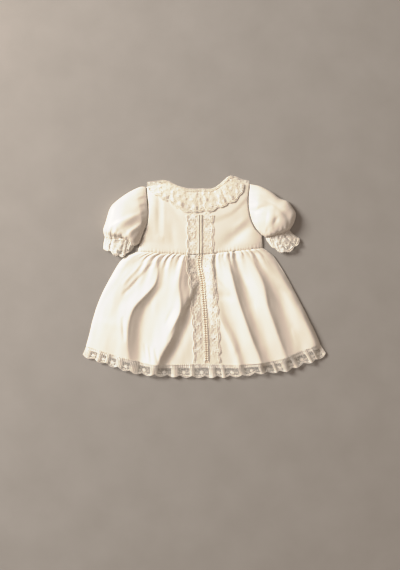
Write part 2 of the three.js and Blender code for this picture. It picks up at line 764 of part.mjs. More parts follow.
for (const [side, { neck, free }] of Object.entries({ left: BACK_COLLAR_LEFT, right: BACK_COLLAR_RIGHT })) {
  add(`collar_back_${side}`, wall({
    place: patch(free, neck, firstOf(free, neck), lastOf(free, neck)),
    underside: () => 0,
    thick: LACE,
    us: steps(GRID.backCollar.across),
    vs: steps(GRID.backCollar.along),
  }), "lace", 0.8);
}

// Trim and lace strips down the centre front, above and below the waist seam
const aboveWaist = (x) => yOn(WAIST, x) + SEAM;
const belowWaist = (x) => yOn(WAIST, x) - SEAM;
const CENTRE = {
  bodice: { panel: "bodice_front", rows: TRIM_LINE.bodice, low: aboveWaist, high: () => STRIP_TOP },
  skirt: { panel: "skirt_front", rows: TRIM_LINE.skirt, low: () => STRIP_LOW, high: belowWaist },
};

// A band beside the centre line, between two distances from it, with a plain or a scalloped far side
function band({ rows, low, high }, { from, to, depth }) {
  return (u, v) => {
    const offset = THREE.MathUtils.lerp(from, to, u);
    const y = THREE.MathUtils.lerp(low(rows.at(-1).x + offset), high(rows[0].x + offset), v);
    const bump = Math.abs(Math.sin((Math.PI * y) / STRIP_SCALLOP));
    const far = Math.max(Math.abs(offset) - TRIM_WIDTH, 0) / STRIP_WIDTH;
    return new THREE.Vector2(xOn(rows, y) + offset + Math.sign(offset) * depth * bump * far, y);
  };
}
const beside = TRIM_WIDTH / 2 + SEAM;
const bands = {
  trim: { from: -TRIM_WIDTH / 2, to: TRIM_WIDTH / 2, depth: 0, thick: TRIM, cells: 1 },
  strip_left: { from: -beside - STRIP_WIDTH, to: -beside, depth: STRIP_SCALLOP_DEPTH, thick: LACE, cells: 3 },
  strip_right: { from: beside, to: beside + STRIP_WIDTH, depth: STRIP_SCALLOP_DEPTH, thick: LACE, cells: 3 },
};
for (const [panel, centre] of Object.entries(CENTRE)) {
  const top = onTopOf([centre.panel]);
  const length = centre.rows[0].y - centre.rows.at(-1).y;
  for (const [name, shape] of Object.entries(bands)) {
    add(`${name}_${panel}`, wall({
      place: band(centre, shape),
      underside: (x, y) => highestNear(top, x, y, GRID.stripReach) + SEAM,
      thick: shape.thick,
      us: steps(shape.cells),
      vs: steps(Math.round(length / GRID.stripLength)),
    }), name === "trim" ? "trim" : "lace", 0.8);
  }
}

// The gown's middle stands over the origin, and its underside on the plane z = 0
const box = new THREE.Box3().setFromObject(gown);
const middle = box.getCenter(new THREE.Vector3());
gown.position.set(-middle.x, -middle.y, -box.min.z);

export default gown;
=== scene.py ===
# %% [markdown]
# # A baby's christening gown in ivory satin and lace, laid flat
# The gown lies on its back, as it would on a table before it is ironed. Everything here is cloth:
# smooth satin panels that hold soft folds, and gathered lace with open net between its flowers.
# %% Load the frame
import math

import bmesh
import bpy
import numpy as np
from mathutils import Matrix, Vector, noise


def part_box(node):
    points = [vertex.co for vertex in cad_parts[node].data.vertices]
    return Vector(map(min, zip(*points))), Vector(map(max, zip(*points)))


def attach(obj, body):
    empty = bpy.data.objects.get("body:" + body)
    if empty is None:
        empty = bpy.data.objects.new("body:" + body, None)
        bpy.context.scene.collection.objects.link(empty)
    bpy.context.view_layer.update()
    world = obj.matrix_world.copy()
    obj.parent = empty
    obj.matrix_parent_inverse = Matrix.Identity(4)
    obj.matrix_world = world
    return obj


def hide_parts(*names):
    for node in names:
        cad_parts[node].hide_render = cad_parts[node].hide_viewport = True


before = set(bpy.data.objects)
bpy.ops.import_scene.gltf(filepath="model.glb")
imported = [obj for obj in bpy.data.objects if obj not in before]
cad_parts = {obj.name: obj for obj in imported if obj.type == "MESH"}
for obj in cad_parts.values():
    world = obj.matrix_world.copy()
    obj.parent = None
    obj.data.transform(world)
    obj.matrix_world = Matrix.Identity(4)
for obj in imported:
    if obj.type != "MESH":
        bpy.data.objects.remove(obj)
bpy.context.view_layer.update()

# %% [markdown]
# ## The shapes that a maker would cut
# A gown is a few flat pieces. Each outline is a short list of points in millimetres, with X to the
# right, Y towards the neck and the centre front near X = -6. The trim tells where the frame's own
# middle lies, because its outline is known in both.
# %% Where the gown lies, and its layers
TRIM_MIDDLE, TRIM_TOP = -0.0075, 0.117      # the bodice trim's own place in the outlines, in metres
trim_low, trim_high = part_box("trim_bodice")
SHIFT = ((trim_low[0] + trim_high[0]) / 2 - TRIM_MIDDLE, trim_high[1] - TRIM_TOP)
CLOTH, LACE, SEAM = 1.2, 1.0, 0.3           # a layer of satin or lace in the solids, and a gap, in mm
CENTRE = -6                                 # the centre front and the centre back

print("the gown's own middle is moved by", [round(1000 * shift, 2) for shift in SHIFT], "mm")

# %% Outlines of the bodice and the skirt
WAIST = [(-125.4, 48), (-78, 44.7), (-32, 42.7), (-6, 42.6), (42, 47), (87.5, 51.8), (111.4, 54.4)]
NECK = [(-109.6, 170), (-88, 174.6), (-68, 179.4), (-49.4, 172.4), (-29, 167), (-6, 166.6),
        (17, 167.5), (33, 178), (48.4, 190), (68.4, 183.1), (87.4, 175.7)]
ARMHOLE = {
    "left": [(-121.5, 64.5), (-114, 85), (-108, 100), (-106, 124), (-109.6, 170)],
    "right": [(109.5, 78.5), (97, 93), (88.5, 112), (84.4, 140), (87.4, 175.7)],
}
SKIRT_SIDE = {
    "left": [(-224, -132.5), (-218.5, -112.5), (-211, -82), (-201.5, -52), (-188, -21.5),
             (-167, 16.6), (-157.7, 29.9), (-146, 39.4), (-125.4, 48)],
    "right": [(220.5, -128.7), (210.9, -105), (199.5, -82.2), (184.3, -51.8), (155.8, 1.4),
              (136.8, 31.8), (128, 42.5), (111.4, 54.4)],
}
HEM = [(-224, -132.5), (-203, -138), (-175, -147), (-122, -161), (-86, -167), (-42, -166.7),
       (0, -165.8), (59, -167.5), (115, -163), (154, -153.5), (192, -138), (220.5, -128.7)]
HEM_EDGE = [(-231.2, -149.6), (-207, -158.2), (-150, -177.2), (-117.8, -184.8), (-83.6, -187.6),
            (-7.6, -190.3), (68.4, -188.6), (102.6, -183.5), (155, -178.5), (186.2, -166.5),
            (210.9, -159.1), (232.8, -146.8)]
print("the waist has", len(WAIST), "points, the neck", len(NECK), "and the hem", len(HEM))

# %% [markdown]
# ### Sleeves, collar and trim
# A sleeve runs from the armhole to its elastic, along `under` and `over`. Its lace runs on from the
# elastic to the free `edge`, and `far` closes the lace at its outer end. A collar lies between the neck
# and its free edge. The trim is only a middle line, because its width is the same all the way.
# %% Outlines of the sleeves
SLEEVE = {
    "left": {
        "under": [(-121.5, 64.5), (-127, 60.5), (-132.5, 58)],
        "over": [(-109.6, 170), (-121, 170.4), (-144.4, 159), (-167, 142.5), (-178.2, 129.3),
                 (-186.6, 102.7), (-191, 88), (-188, 74.5)],
        "elastic": [(-132.5, 58), (-143, 66), (-157, 71), (-171, 70.5), (-188, 74.5)],
        "edge": [(-134, 52.5), (-143.5, 46), (-153, 38.5), (-169, 41), (-180.5, 49), (-191.3, 51)],
        "far": [(-191.3, 51), (-190.2, 64), (-188, 74.5)],
    },
    "right": {
        "under": [(109.5, 78.5), (113, 77), (116.5, 74)],
        "over": [(87.4, 175.7), (106.4, 171.7), (127.3, 161), (144, 148.5), (158, 143), (167, 132),
                 (174.2, 119), (170.5, 102), (162.3, 88.3)],
        "elastic": [(116.5, 74), (134, 76.5), (150, 80), (162.3, 88.3)],
        "edge": [(119.7, 66), (134, 52.6), (150, 46), (164.3, 49.5), (176.7, 60.3), (182.5, 72)],
        "far": [(182.5, 72), (170, 80.5), (162.3, 88.3)],
    },
}
print("a sleeve has the lines", ", ".join(SLEEVE["left"]))

# %% Outlines of the collar and the trim
COLLAR = {
    "neck": [(-86, 178.5), (-68, 181.2), (-49.4, 172.9), (-29, 167.3), (-6, 166.8), (17, 167.8),
             (33, 178.6), (48.4, 191), (60.8, 189)],
    "free": [(-108, 166.7), (-86, 150.4), (-64.6, 140), (-40, 123.5), (-6, 122.6), (17, 125),
             (36, 133), (56, 141.6), (69, 153.4), (77, 173)],
}
BACK_COLLAR = {
    "left": {
        "neck": [(-108.5, 180.5), (-87, 182.6), (-78, 184), (-66.5, 181.4), (-49.4, 172.9),
                 (-29, 167.3), (-6, 166.8)],
        "free": [(-108, 164), (-86, 149), (-64, 138), (-40, 127), (-6, 122.6)],
    },
    "right": {
        "neck": [(-6, 166.8), (17, 167.8), (33, 179.2), (45, 190), (58, 191.5), (72, 186), (86.5, 183)],
        "free": [(-6, 122.6), (17, 124), (38, 131), (58, 142), (85.5, 166.5)],
    },
}
TRIM_LINE = {
    "bodice": [(-7.5, 117), (-7.5, 42.6)],
    "skirt": [(-7.5, 42.6), (-9, 25), (-3.4, -6), (0.3, -52), (3.4, -100), (5.2, -163)],
}
print("the trim runs from", TRIM_LINE["bodice"][0][1], "to", TRIM_LINE["skirt"][-1][1], "mm")

# %% [markdown]
# ## Smooth lines
# A cut edge is a smooth curve, and a maker measures along it. So a smooth line runs through each short
# list, and is measured by its length.
# %% A smooth line through a few points
LINE_STEPS, CREASE_STEPS = 40, 14       # straight steps between two points, and along a bent crease


def spline(before, a, b, after, t):
    """The smooth curve from a to b that also suits the points before and after them."""
    bend = 2 * before - 5 * a + 4 * b - after
    return a + 0.5 * t * (b - before + t * (bend + t * (3 * (a - b) + after - before)))


def through(places, values, at):
    """A smooth value through a short list of values at known places, which run up or down."""
    places, values, at = np.asarray(places, float), np.asarray(values, float), np.asarray(at, float)
    if places[-1] < places[0]:
        places, values = places[::-1], values[::-1]
    last = len(places) - 1
    i = np.clip(np.searchsorted(places, at) - 1, 0, last - 1)
    t = np.clip((at - places[i]) / (places[i + 1] - places[i]), 0, 1)
    around = (np.maximum(i - 1, 0), i, i + 1, np.minimum(i + 2, last))
    return spline(*(values[k] for k in around), t)


def x_on(rows, y):
    """The x of a line of points at a height y."""
    return through([row[1] for row in rows], [row[0] for row in rows], y)


def y_on(rows, x):
    """The y of a line of points at a place x."""
    return through([row[0] for row in rows], [row[1] for row in rows], x)


def line(rows):
    """A function from 0..1 to a point, by length, on a smooth line through the rows."""
    p = np.array(rows, float)
    k = np.arange(len(p) - 1)
    around = (np.maximum(k - 1, 0), k, k + 1, np.minimum(k + 2, len(p) - 1))
    t = np.linspace(0, 1, LINE_STEPS, endpoint=False)[None, :, None]
    fine = spline(*(p[i][:, None, :] for i in around), t)
    fine = np.vstack([fine.reshape(-1, 2), p[-1:]])
    along = np.concatenate([[0], np.cumsum(np.linalg.norm(np.diff(fine, axis=0), axis=1))])
    at = lambda u: np.stack([np.interp(u, along / along[-1], fine[:, c]) for c in (0, 1)], -1)
    at.length = along[-1]
    return at


print("the waist seam is", round(line(WAIST).length), "mm long and the hem", round(line(HEM).length))

# %% [markdown]
# ## Soft hills and steps
# Cloth has no sharp steps. Four small functions give its forms: an edge that is rounded over, a hill
# that fades on both sides, a wave for gathers, and a smooth step from 0 to 1.
# %% Soft hills and steps
def rounded(distance, size):
    """From 0 at an edge to almost 1, two or three sizes away from it."""
    return 1 - np.exp(-np.maximum(distance, 0) / size)


def hill(distance, width):
    """1 on the crest, falling away softly on both sides."""
    return np.exp(-(np.asarray(distance) / width) ** 2)


def wave(turns):
    """1 at each whole turn and 0 half way between."""
    return 0.5 + 0.5 * np.cos(2 * np.pi * np.asarray(turns))


def step(low, high, at):
    """A smooth rise from 0 at low to 1 at high."""
    t = np.clip((np.asarray(at, float) - low) / (high - low), 0, 1)
    return t * t * (3 - 2 * t)


print("a hill has fallen to", round(float(hill(1, 1)), 2), "of its height at its width")

# %% [markdown]
# ## A panel between four lines
# A panel of cloth has four sides, two across and two along. The patch blends the opposite sides, so a
# place is found from two shares, one across and one along. It can reach a little past its own edge,
# as cloth does at a seam.
# %% A patch between four lines
def side_line(waist_end, armhole):
    """A side of the bodice: the side seam up to the underarm, a corner there, then the armhole."""
    seam, hole = line([waist_end, armhole[0]]), line(armhole)
    corner = 1 / 7      # the side seam's share of the side
    at = lambda v: np.where(np.asarray(v)[..., None] < corner, seam(np.asarray(v) / corner),
                            hole((np.asarray(v) - corner) / (1 - corner)))
    at.length = seam.length + hole.length
    return at


def patch(low, high, left, right, out=0.0):
    """A function from shares across and along to places between four lines, out mm past them."""
    low, high, left, right = (line(s) if isinstance(s, list) else s for s in (low, high, left, right))

    def at(u, v):
        u, v = np.asarray(u, float), np.asarray(v, float)
        a, b = u[..., None], v[..., None]
        zero, one = np.zeros_like(u), np.ones_like(u)
        p = low(u) * (1 - b) + high(u) * b + left(v) * (1 - a) + right(v) * a
        p -= low(zero) * (1 - a) * (1 - b) + low(one) * a * (1 - b)
        return p - high(zero) * (1 - a) * b - high(one) * a * b

    def place(u, v):
        u, v = np.broadcast_arrays(np.asarray(u, float), np.asarray(v, float))
        zero, one = np.zeros_like(u), np.ones_like(u)
        width = np.maximum(np.linalg.norm(at(zero, v) - at(one, v), axis=-1), 1)
        height = np.maximum(np.linalg.norm(at(u, zero) - at(u, one), axis=-1), 1)
        p = at(u + (2 * u - 1) * out / width, v + (2 * v - 1) * out / height)
        return p[..., 0], p[..., 1]

    place.width, place.height = (low.length + high.length) / 2, (left.length + right.length) / 2
    return place


def between(free, sewn, far=None):
    """The patch of a gathered lace, from its free edge up to the line where it is sewn on."""
    return patch(free, sewn, [free[0], sewn[0]], far or [free[-1], sewn[-1]])


print("the hem lace is about", round(between(HEM_EDGE, HEM).height), "mm deep at its ends")

# %% [markdown]
# ## Creases and swells
# Cloth that leans over falls steeply on one side and slopes gently on the other. So a crease is a soft
# hill along a line, with a width of its own on each side. Slow, uneven swells between the creases keep
# the cloth from looking ironed.
# %% Creases and swells
def creases(rows, x, y):
    """Soft ridges or troughs along lines of two or more points. Each has a width to the left and to
    the right of its own direction, and fades to half its rise at its ends."""
    x, y = np.asarray(x, float), np.asarray(y, float)
    total = np.zeros_like(x)
    for *places, rise, left, right in rows:
        path = np.reshape(places, (-1, 2))
        steps = 1 if len(path) == 2 else CREASE_STEPS
        path = line(path)(np.linspace(0, 1, steps + 1))
        nearest, share, aside = np.full_like(x, np.inf), np.zeros_like(x), np.zeros_like(x)
        for k, (a, b) in enumerate(zip(path, path[1:])):
            dx, dy = b - a
            along = np.clip(((x - a[0]) * dx + (y - a[1]) * dy) / (dx * dx + dy * dy), 0, 1)
            past = np.hypot(x - a[0] - along * dx, y - a[1] - along * dy)
            closer = past < nearest
            share = np.where(closer, (k + along) / steps, share)
            aside = np.where(closer, (x - a[0]) * dy - (y - a[1]) * dx, aside)
            nearest = np.minimum(nearest, past)
        width = np.where(aside < 0, left, right)
        total += rise * hill(nearest, width) * (0.35 + 0.65 * np.sin(np.pi * (0.08 + 0.84 * share)))
    return total


def mottle(x, y, size, seed, stretch=1.0):
    """Slow, uneven swells of about -1 to 1, the same each run."""
    flat = zip(np.ravel(x) / size, np.ravel(y) / (size * stretch))
    values = [noise.noise(Vector((a + 17.3 * seed, b - 9.1 * seed, 3.7 * seed))) for a, b in flat]
    return np.reshape(values, np.shape(x))


print("a crease of 2 mm rises", np.round(creases([(0, 0, 9, 0, 2, 3, 3)], [0, 4.5], [0, 0]), 1), "mm")

# %% [markdown]
# ## How the bodice lies
# The height of a panel is worked out at every point, in mm above the surface that the gown lies on.
# The bodice front rises softly from its side seams, stands open at the armholes, and puckers where the
# waist seam holds it. Its back lies flat over the back collar.
# %% The bodice
BODICE_RISE, ARMHOLE_RISE = 5, 5.5      # how far the front stands up inside its edges and armholes
BACK_DROP = (24, 11)                    # how far below the collar's edge the back is down, and is up
BODICE_CREASES = [
    # from x, from y, to x, to y, rise, width to the left, width to the right
    (-84, 172, -85, 84, -2.2, 9, 7),
    (-78, 165, -77, 80, 0.9, 5, 12),
    (94, 104, 40, 60, -3.0, 10, 12),
    (84, 112, 60, 92, 1.2, 9, 6),
    (74, 66, 100, 62, 0.9, 8, 8),
    (-60, 60, -104, 66, -1.0, 10, 10),
    (-100, 120, -96, 74, -0.8, 7, 7),
    (-66, 140, -38, 100, -0.7, 7, 7),
    (30, 128, 70, 112, 0.8, 9, 9),
    (-62, 96, -58, 60, -0.6, 6, 6),
]
SIDE = {side: [WAIST[end], *ARMHOLE[side]] for side, end in (("left", 0), ("right", -1))}


def back_height(x, y):
    """The back lies over the back collar, and drops to the surface below it."""
    left, right = (BACK_COLLAR[side]["free"] for side in ("left", "right"))
    on_left, on_right = (np.clip(x, free[0][0], free[-1][0]) for free in (left, right))
    edge = np.where(x < CENTRE, y_on(left, on_left), y_on(right, on_right))
    return (LACE + SEAM) * step(edge - BACK_DROP[0], edge - BACK_DROP[1], y)


def bodice_top(x, y):
    """The bodice front rises from its seams, opens at the armholes and thins to the neckline."""
    to_side = np.minimum(x - x_on(SIDE["left"], y), x_on(SIDE["right"], y) - x)
    to_top = y_on(NECK, x) - y
    low, high = (np.where(x < 0, *(ARMHOLE[side][end][1] for side in ("left", "right")))
                 for end in (0, -1))
    open_ = np.sin(np.pi * np.clip((y - low) / (high - low), 0, 1))
    rise = BODICE_RISE * rounded(to_side, 10) + ARMHOLE_RISE * open_ * (1 - rounded(to_side, 20))
    soft = (creases(BODICE_CREASES, x, y) + 0.5 * mottle(x, y, 30, 1, 1.6)) * rounded(to_side, 10)
    above = y - y_on(WAIST, x)
    pucker = 0.5 + 0.5 * np.sin(x * 1.1 + 2 * np.sin(x * 0.17))
    seam = -(1.1 + 0.8 * pucker) * hill(above, 1.7) - 0.5 * pucker * hill(above - 4, 3.5)
    armhole = -1.1 * hill(to_side, 1.6) * step(low - 2, low + 4, y)
    return back_height(x, y) + 2 * CLOTH + SEAM + (rise + soft) * rounded(to_top, 12) + seam + armhole


spots = np.array([-90.0, -45, 0, 40, 75])
print("bodice heights across its middle", np.round(bodice_top(spots, spots * 0 + 110), 1))

# %% [markdown]
# ## How the skirt lies
# The skirt holds four large folds that fan out from the gathers at the waist and lean to the right, so
# each has a broad side towards the light and a short dark one. Each has a folded edge along its steep
# side. The small creases between them were placed one by one, of uneven length and depth.
# %% The large folds
SKIRT_RISE = 4                          # the satin stands this high between its folds
LEVELS = [46, -12, -63, -116, -166]     # y from the waist to the hem
FOLDS = [
    # x at the five levels, rise there, and widths on the viewer's left and right. A large fold is a
    # narrow and a wide hill on the same crest, so it is steep at first and then gentle.
    ([-118, -150, -172, -184, -190], [0, 1.5, 2.5, 3.5, 2.5], 18, 20),
    ([-93, -95, -137, -147, -143], [1, 3, 4, 5, 4], 22, 14),
    ([-93, -95, -137, -147, -143], [0, 2, 2.5, 3, 2.5], 22, 28),
    ([-78, -78, -112, -121, -118], [0, -1.5, -1.5, -2, -1.5], 10, 12),
    ([-44, -50, -47, -64, -90], [1, 5, 6, 6.5, 5.5], 26, 15),
    ([-44, -50, -47, -64, -90], [0, 3, 4, 4, 3], 26, 44),
    ([-26, -12, -26, -46, -70], [-1, -2, -3, -3, -2], 12, 14),
    ([20, 22, 28, 51, 66], [0, 0, 1.5, 4, 3], 9, 8),
    ([42, 54, 69, 88, 106], [1, 5, 5.5, 5.5, 4.5], 16, 15),
    ([42, 54, 69, 88, 106], [0, 2.5, 3, 3, 2.5], 16, 24),
    ([84, 109, 120, 139, 156], [1, 5, 5.5, 5.5, 4.5], 20, 16),
    ([84, 109, 120, 139, 156], [0, 2.5, 3, 3, 2.5], 20, 32),
    ([110, 150, 178, 206, 212], [0, 2.5, 4, 5, 4], 20, 15),
]
EDGES = [
    # The folded edge along the steep side of a large fold, in the same columns
    ([-90, -92, -134, -144, -140], [0.4, 1.4, 1.4, 0.9, 0.2], 7, 3),
    ([-41, -48, -45, -62, -87], [0.3, 1.6, 1.8, 1.8, 1.2], 9, 4),
    ([44, 56, 71, 90, 108], [0.6, 1.6, 1.6, 1.6, 1.0], 6, 3),
    ([86, 111, 122, 141, 158], [0.3, 1.4, 1.8, 1.4, 0.8], 7, 4),
]
print(len(FOLDS), "hills make the large folds, and", len(EDGES), "have a folded edge")

# %% The small creases and the gathers
SKIRT_CREASES = [
    # from x, from y, to x, to y, rise, width to the left, width to the right
    (-99, 28, -144, -21, 2.0, 4, 5),
    (-105, 20, -150, -32, -1.5, 4, 4),
    (-112, 30, -152, -12, 1.0, 5, 3),
    (-12, -6, -34, -52, 2.6, 4, 11),
    (-34, -52, -46, -88, 1.6, 4, 9),
    (-38, -4, -35, -34, 1.6, 9, 9),
    (-24, -44, -66, -118, -1.6, 5, 4),
    (15, 34, 17, -48, 2.4, 5, 10),
    (44, 22, 76, -8, -1.6, 9, 6),
    (-71, -88, -58, -60, -1.1, 4, 4),
    (-62, -100, -50, -74, 0.9, 4, 4),
    (-103, -134, -99, -160, -1.6, 3, 3),
    (-92, -138, -87, -161, -1.5, 3, 3),
    (-112, -128, -108, -156, -1.0, 3, 3),
    (-153, -80, -151, -118, -1.6, 4, 3),
    (21, -4, 44, -30, 1.6, 4, 5),
    (18, -34, 48, -40, -2.0, 8, 8),
    (24, -66, 58, -140, 1.2, 3, 5),
    (148, -22, 168, -32, -1.3, 6, 6),
    (-190, -84, -158, -96, 1.2, 9, 9),
    (-206, -110, -170, -136, -0.8, 10, 10),
    (186, -62, 212, -122, 2.0, 17, 8),
    (92, -100, 112, -150, -0.9, 6, 6),
    (126, -60, 138, -100, 0.8, 5, 4),
    (66, 20, 86, -30, -1.0, 5, 5),
    (-122, 36, -150, 10, -1.2, 7, 7),
    (140, 14, 164, -30, 1.0, 8, 8),
    (72, 32, 82, -10, 93, -46, -2.4, 10, 16),
    (124, 16, 148, -36, 164, -92, -2.2, 12, 18),
]
GATHERS = [
    # where along the waist, in shares from left to right, depth, width, how far down it runs
    (0.080, 0.5, 2.6, 14), (0.118, 0.9, 2.4, 20), (0.152, 1.8, 2.6, 46), (0.176, 0.5, 1.4, 7),
    (0.205, 2.0, 2.8, 52), (0.233, 0.5, 1.4, 7), (0.262, 1.2, 2.2, 22), (0.296, 2.2, 2.6, 36),
    (0.330, 0.7, 1.4, 8), (0.372, 2.5, 3.2, 40), (0.405, 0.6, 1.6, 9),
    (0.570, 0.8, 1.7, 9), (0.606, 2.3, 2.5, 34), (0.632, 0.7, 1.5, 8), (0.662, 1.2, 1.9, 14),
    (0.703, 1.6, 2.1, 20), (0.745, 2.9, 4.0, 60), (0.776, 0.6, 1.5, 8), (0.802, 0.9, 1.7, 11),
    (0.842, 1.2, 2.0, 16), (0.886, 2.5, 3.6, 58), (0.935, 0.7, 2.6, 20),
]
print(len(SKIRT_CREASES), "small creases and", len(GATHERS), "gathers")

# %% The height of the skirt
def skirt_share(x, y):
    """The skirt's two sides at y, and the share of the way between them."""
    left, right = x_on(SKIRT_SIDE["left"], y), x_on(SKIRT_SIDE["right"], y)
    return left, right, (x - left) / (right - left)


def skirt_top(x, y):
    """The skirt front: a low rise, the large folds, the gathers and the small creases."""
    left, right, share = skirt_share(x, y)
    to_side = np.minimum(x - left, right - x)
    large = SKIRT_RISE + creases(SKIRT_CREASES, x, y)
    for at, rise, wide_left, wide_right in FOLDS + EDGES:
        off = x - through(LEVELS, at, y)
        large = large + through(LEVELS, rise, y) * hill(off, np.where(off < 0, wide_left, wide_right))
    below = y_on(WAIST, x) - y
    gathers = 1.2 * rounded(below, 1.5) * (1 - rounded(below, 24)) * step(16, 30, np.abs(x - CENTRE))
    for at, depth, width, reach in GATHERS:
        fade = hill(np.maximum(below, 0), reach) * rounded(below + 2, 2)
        spread = width * (1 + np.maximum(below, 0) / 30)
        gathers = gathers - 0.95 * depth * fade * hill((share - at) * (right - left), spread)
        off = (share - at) * (right - left) - 2.2 * width
        gathers = gathers + 0.5 * depth * fade * hill(off, spread)
    swell = 1.2 * mottle(share * 440, y, 34, 2, 2.2) + 0.4 * mottle(share * 440, y, 13, 3, 2.6)
    aside = x - x_on(TRIM_LINE["skirt"], y)
    dip = step(46, 16, y) * step(-118, -70, y)
    trim_dip = -3.0 * dip * hill(aside, np.where(aside < 0, 17, 10))
    height = large + gathers + swell + trim_dip
    above = (height + np.hypot(height, 1)) / 2
    seam = -1.5 * hill(below, 1.8)
    return 2 * CLOTH + SEAM + above * rounded(to_side, 7) + seam


spots = np.array([-186, -99, -60, 2, 57, 116, 190.0])
print("skirt heights half way down", np.round(skirt_top(spots, spots * 0 - 63), 1))

# %% [markdown]
# ## Satin
# The weave of satin hides most of the crossings of its threads, so it is smooth and brighter where it
# turns to the light. Its ivory is a little uneven, and the warmth in its shade comes from the light of
# the room. The threads show only close up, so they are a bump on the piece's own flat measure.
# %% Tools for materials
def material(name, colour, roughness, sheen, build):
    """A cloth with a soft sheen, whose nodes are added by build."""
    made = bpy.data.materials.new(name)
    made.use_nodes = True
    nodes, links = made.node_tree.nodes, made.node_tree.links
    shader = nodes["Principled BSDF"]
    shader.inputs["Base Color"].default_value = (*colour, 1)
    shader.inputs["Roughness"].default_value = roughness
    shader.inputs["Sheen Weight"].default_value = sheen
    shader.inputs["Sheen Roughness"].default_value = 0.45
    build(nodes, links, shader)
    return made


def node(nodes, kind, **settings):
    """A new node, with its inputs or its own settings filled in."""
    made = nodes.new(kind)
    for key, value in settings.items():
        if key in made.inputs:
            made.inputs[key].default_value = value
        else:
            setattr(made, key, value)
    return made


def ramp(nodes, links, source, low, high):
    """Tones from low to high, for a texture whose values lie mostly between 0.3 and 0.7."""
    made = nodes.new("ShaderNodeValToRGB")
    for end, at, tone in zip(made.color_ramp.elements, (0.3, 0.7), (low, high)):
        end.position, end.color = at, tone
    links.new(source, made.inputs[0])
    return made


def mixed(nodes, links, first, share, second):
    """The first value times a share, plus the second value."""
    made = node(nodes, "ShaderNodeMath", operation="MULTIPLY_ADD")
    links.new(first, made.inputs[0])
    made.inputs[1].default_value = share
    links.new(second, made.inputs[2])
    return made.outputs[0]


def raised(nodes, links, shader, height, strength, deep):
    """A bump from a texture, as deep in metres as the threads stand."""
    bump = node(nodes, "ShaderNodeBump", Strength=strength, Distance=deep)
    links.new(height, bump.inputs["Height"])
    links.new(bump.outputs[0], shader.inputs["Normal"])


print("tools for materials are ready")

# %% The look of satin
def satin_look(nodes, links, shader):
    """An uneven ivory, an uneven gloss, and the bump of warp, weft and slubs."""
    place = node(nodes, "ShaderNodeUVMap", uv_map="flat")
    cloud = node(nodes, "ShaderNodeTexNoise", Scale=9.0, Detail=3.0)
    links.new(place.outputs[0], cloud.inputs["Vector"])
    tone = ramp(nodes, links, cloud.outputs["Fac"], (0.88, 0.81, 0.71, 1), (0.945, 0.895, 0.80, 1))
    links.new(tone.outputs[0], shader.inputs["Base Color"])
    gloss = ramp(nodes, links, cloud.outputs["Fac"], (0.36, 0.36, 0.36, 1), (0.46, 0.46, 0.46, 1))
    links.new(gloss.outputs[0], shader.inputs["Roughness"])
    warp = node(nodes, "ShaderNodeTexWave", Scale=420.0, Distortion=1.2, Detail=1.0)
    warp.bands_direction = "X"
    weft = node(nodes, "ShaderNodeTexWave", Scale=260.0, Distortion=0.8, Detail=1.0)
    weft.bands_direction = "Y"
    slub = node(nodes, "ShaderNodeTexNoise", Scale=900.0, Detail=2.0)
    for texture in (warp, weft, slub):
        links.new(place.outputs[0], texture.inputs["Vector"])
    weave = mixed(nodes, links, weft.outputs["Fac"], 0.4, warp.outputs["Fac"])
    weave = mixed(nodes, links, slub.outputs["Fac"], 0.5, weave)
    raised(nodes, links, shader, weave, 0.12, 0.0002)


SATIN = material("gown satin", (0.93, 0.87, 0.76), 0.42, 0.25, satin_look)
print(SATIN.name, "has", len(SATIN.node_tree.nodes), "nodes")

# %% [markdown]
# ## Thread
# Lace is matt thread, and the trim's thread shines a little. Both take the same look, in paler or
# warmer tones: a cloudy tone and a fine twist. They read the piece's own coordinates, because a thread
# is too fine to show which way its grain runs.
# %% The look of thread
def thread_look(tone_low, tone_high, strength):
    """A look for thread, between two tones, with a twist of some strength."""
    def build(nodes, links, shader):
        place = node(nodes, "ShaderNodeTexCoord")
        cloud = node(nodes, "ShaderNodeTexNoise", Scale=60.0, Detail=3.0)
        twist = node(nodes, "ShaderNodeTexNoise", Scale=1600.0, Detail=2.0)
        for texture in (cloud, twist):
            links.new(place.outputs["Object"], texture.inputs["Vector"])
        tone = ramp(nodes, links, cloud.outputs["Fac"], tone_low, tone_high)
        links.new(tone.outputs[0], shader.inputs["Base Color"])
        raised(nodes, links, shader, twist.outputs["Fac"], strength, 0.0003)
    return build


LACE_LOOK = material("gown lace", (0.9, 0.83, 0.7), 0.75, 0.2,
                     thread_look((0.965, 0.905, 0.80, 1), (0.99, 0.96, 0.89, 1), 0.12))
TRIM_LOOK = material("gown trim", (0.86, 0.76, 0.6), 0.5, 0.15,
                     thread_look((0.955, 0.895, 0.77, 1), (0.985, 0.95, 0.86, 1), 0.3))
# The trim's darker band is painted shade, standing in for the shade between its knots.
SHADE_GROUND_LOOK = material("trim painted shade", (0.8, 0.67, 0.48), 0.6, 0.1,
                     thread_look((0.74, 0.63, 0.49, 1), (0.84, 0.75, 0.62, 1), 0.4))
print("materials", [m.name for m in (SATIN, LACE_LOOK, TRIM_LOOK, SHADE_GROUND_LOOK)])

# %% [markdown]
# ## Satin panels
# Each panel is a fine grid laid over its patch and lifted to its height, then given the thickness of
# real satin. A panel runs a hair past its seam and dips there, so the seam shows as a fine dark line,
# and its neighbour closes it. A flat map in metres goes with it, so the weave keeps its scale.
# %% From a grid to a finished piece
SATIN_THICK, MM = 0.0004, 0.001         # in metres


def placed(name, data):
    """A new object in the scene, at the origin."""
    made = bpy.data.objects.new(name, data)
    bpy.context.scene.collection.objects.link(made)
    return made


def thicken(piece):
    """The thickness of real satin, inwards from the side that shows."""
    solid = piece.modifiers.new("thickness", "SOLIDIFY")
    solid.thickness = SATIN_THICK
    solid.offset = -1


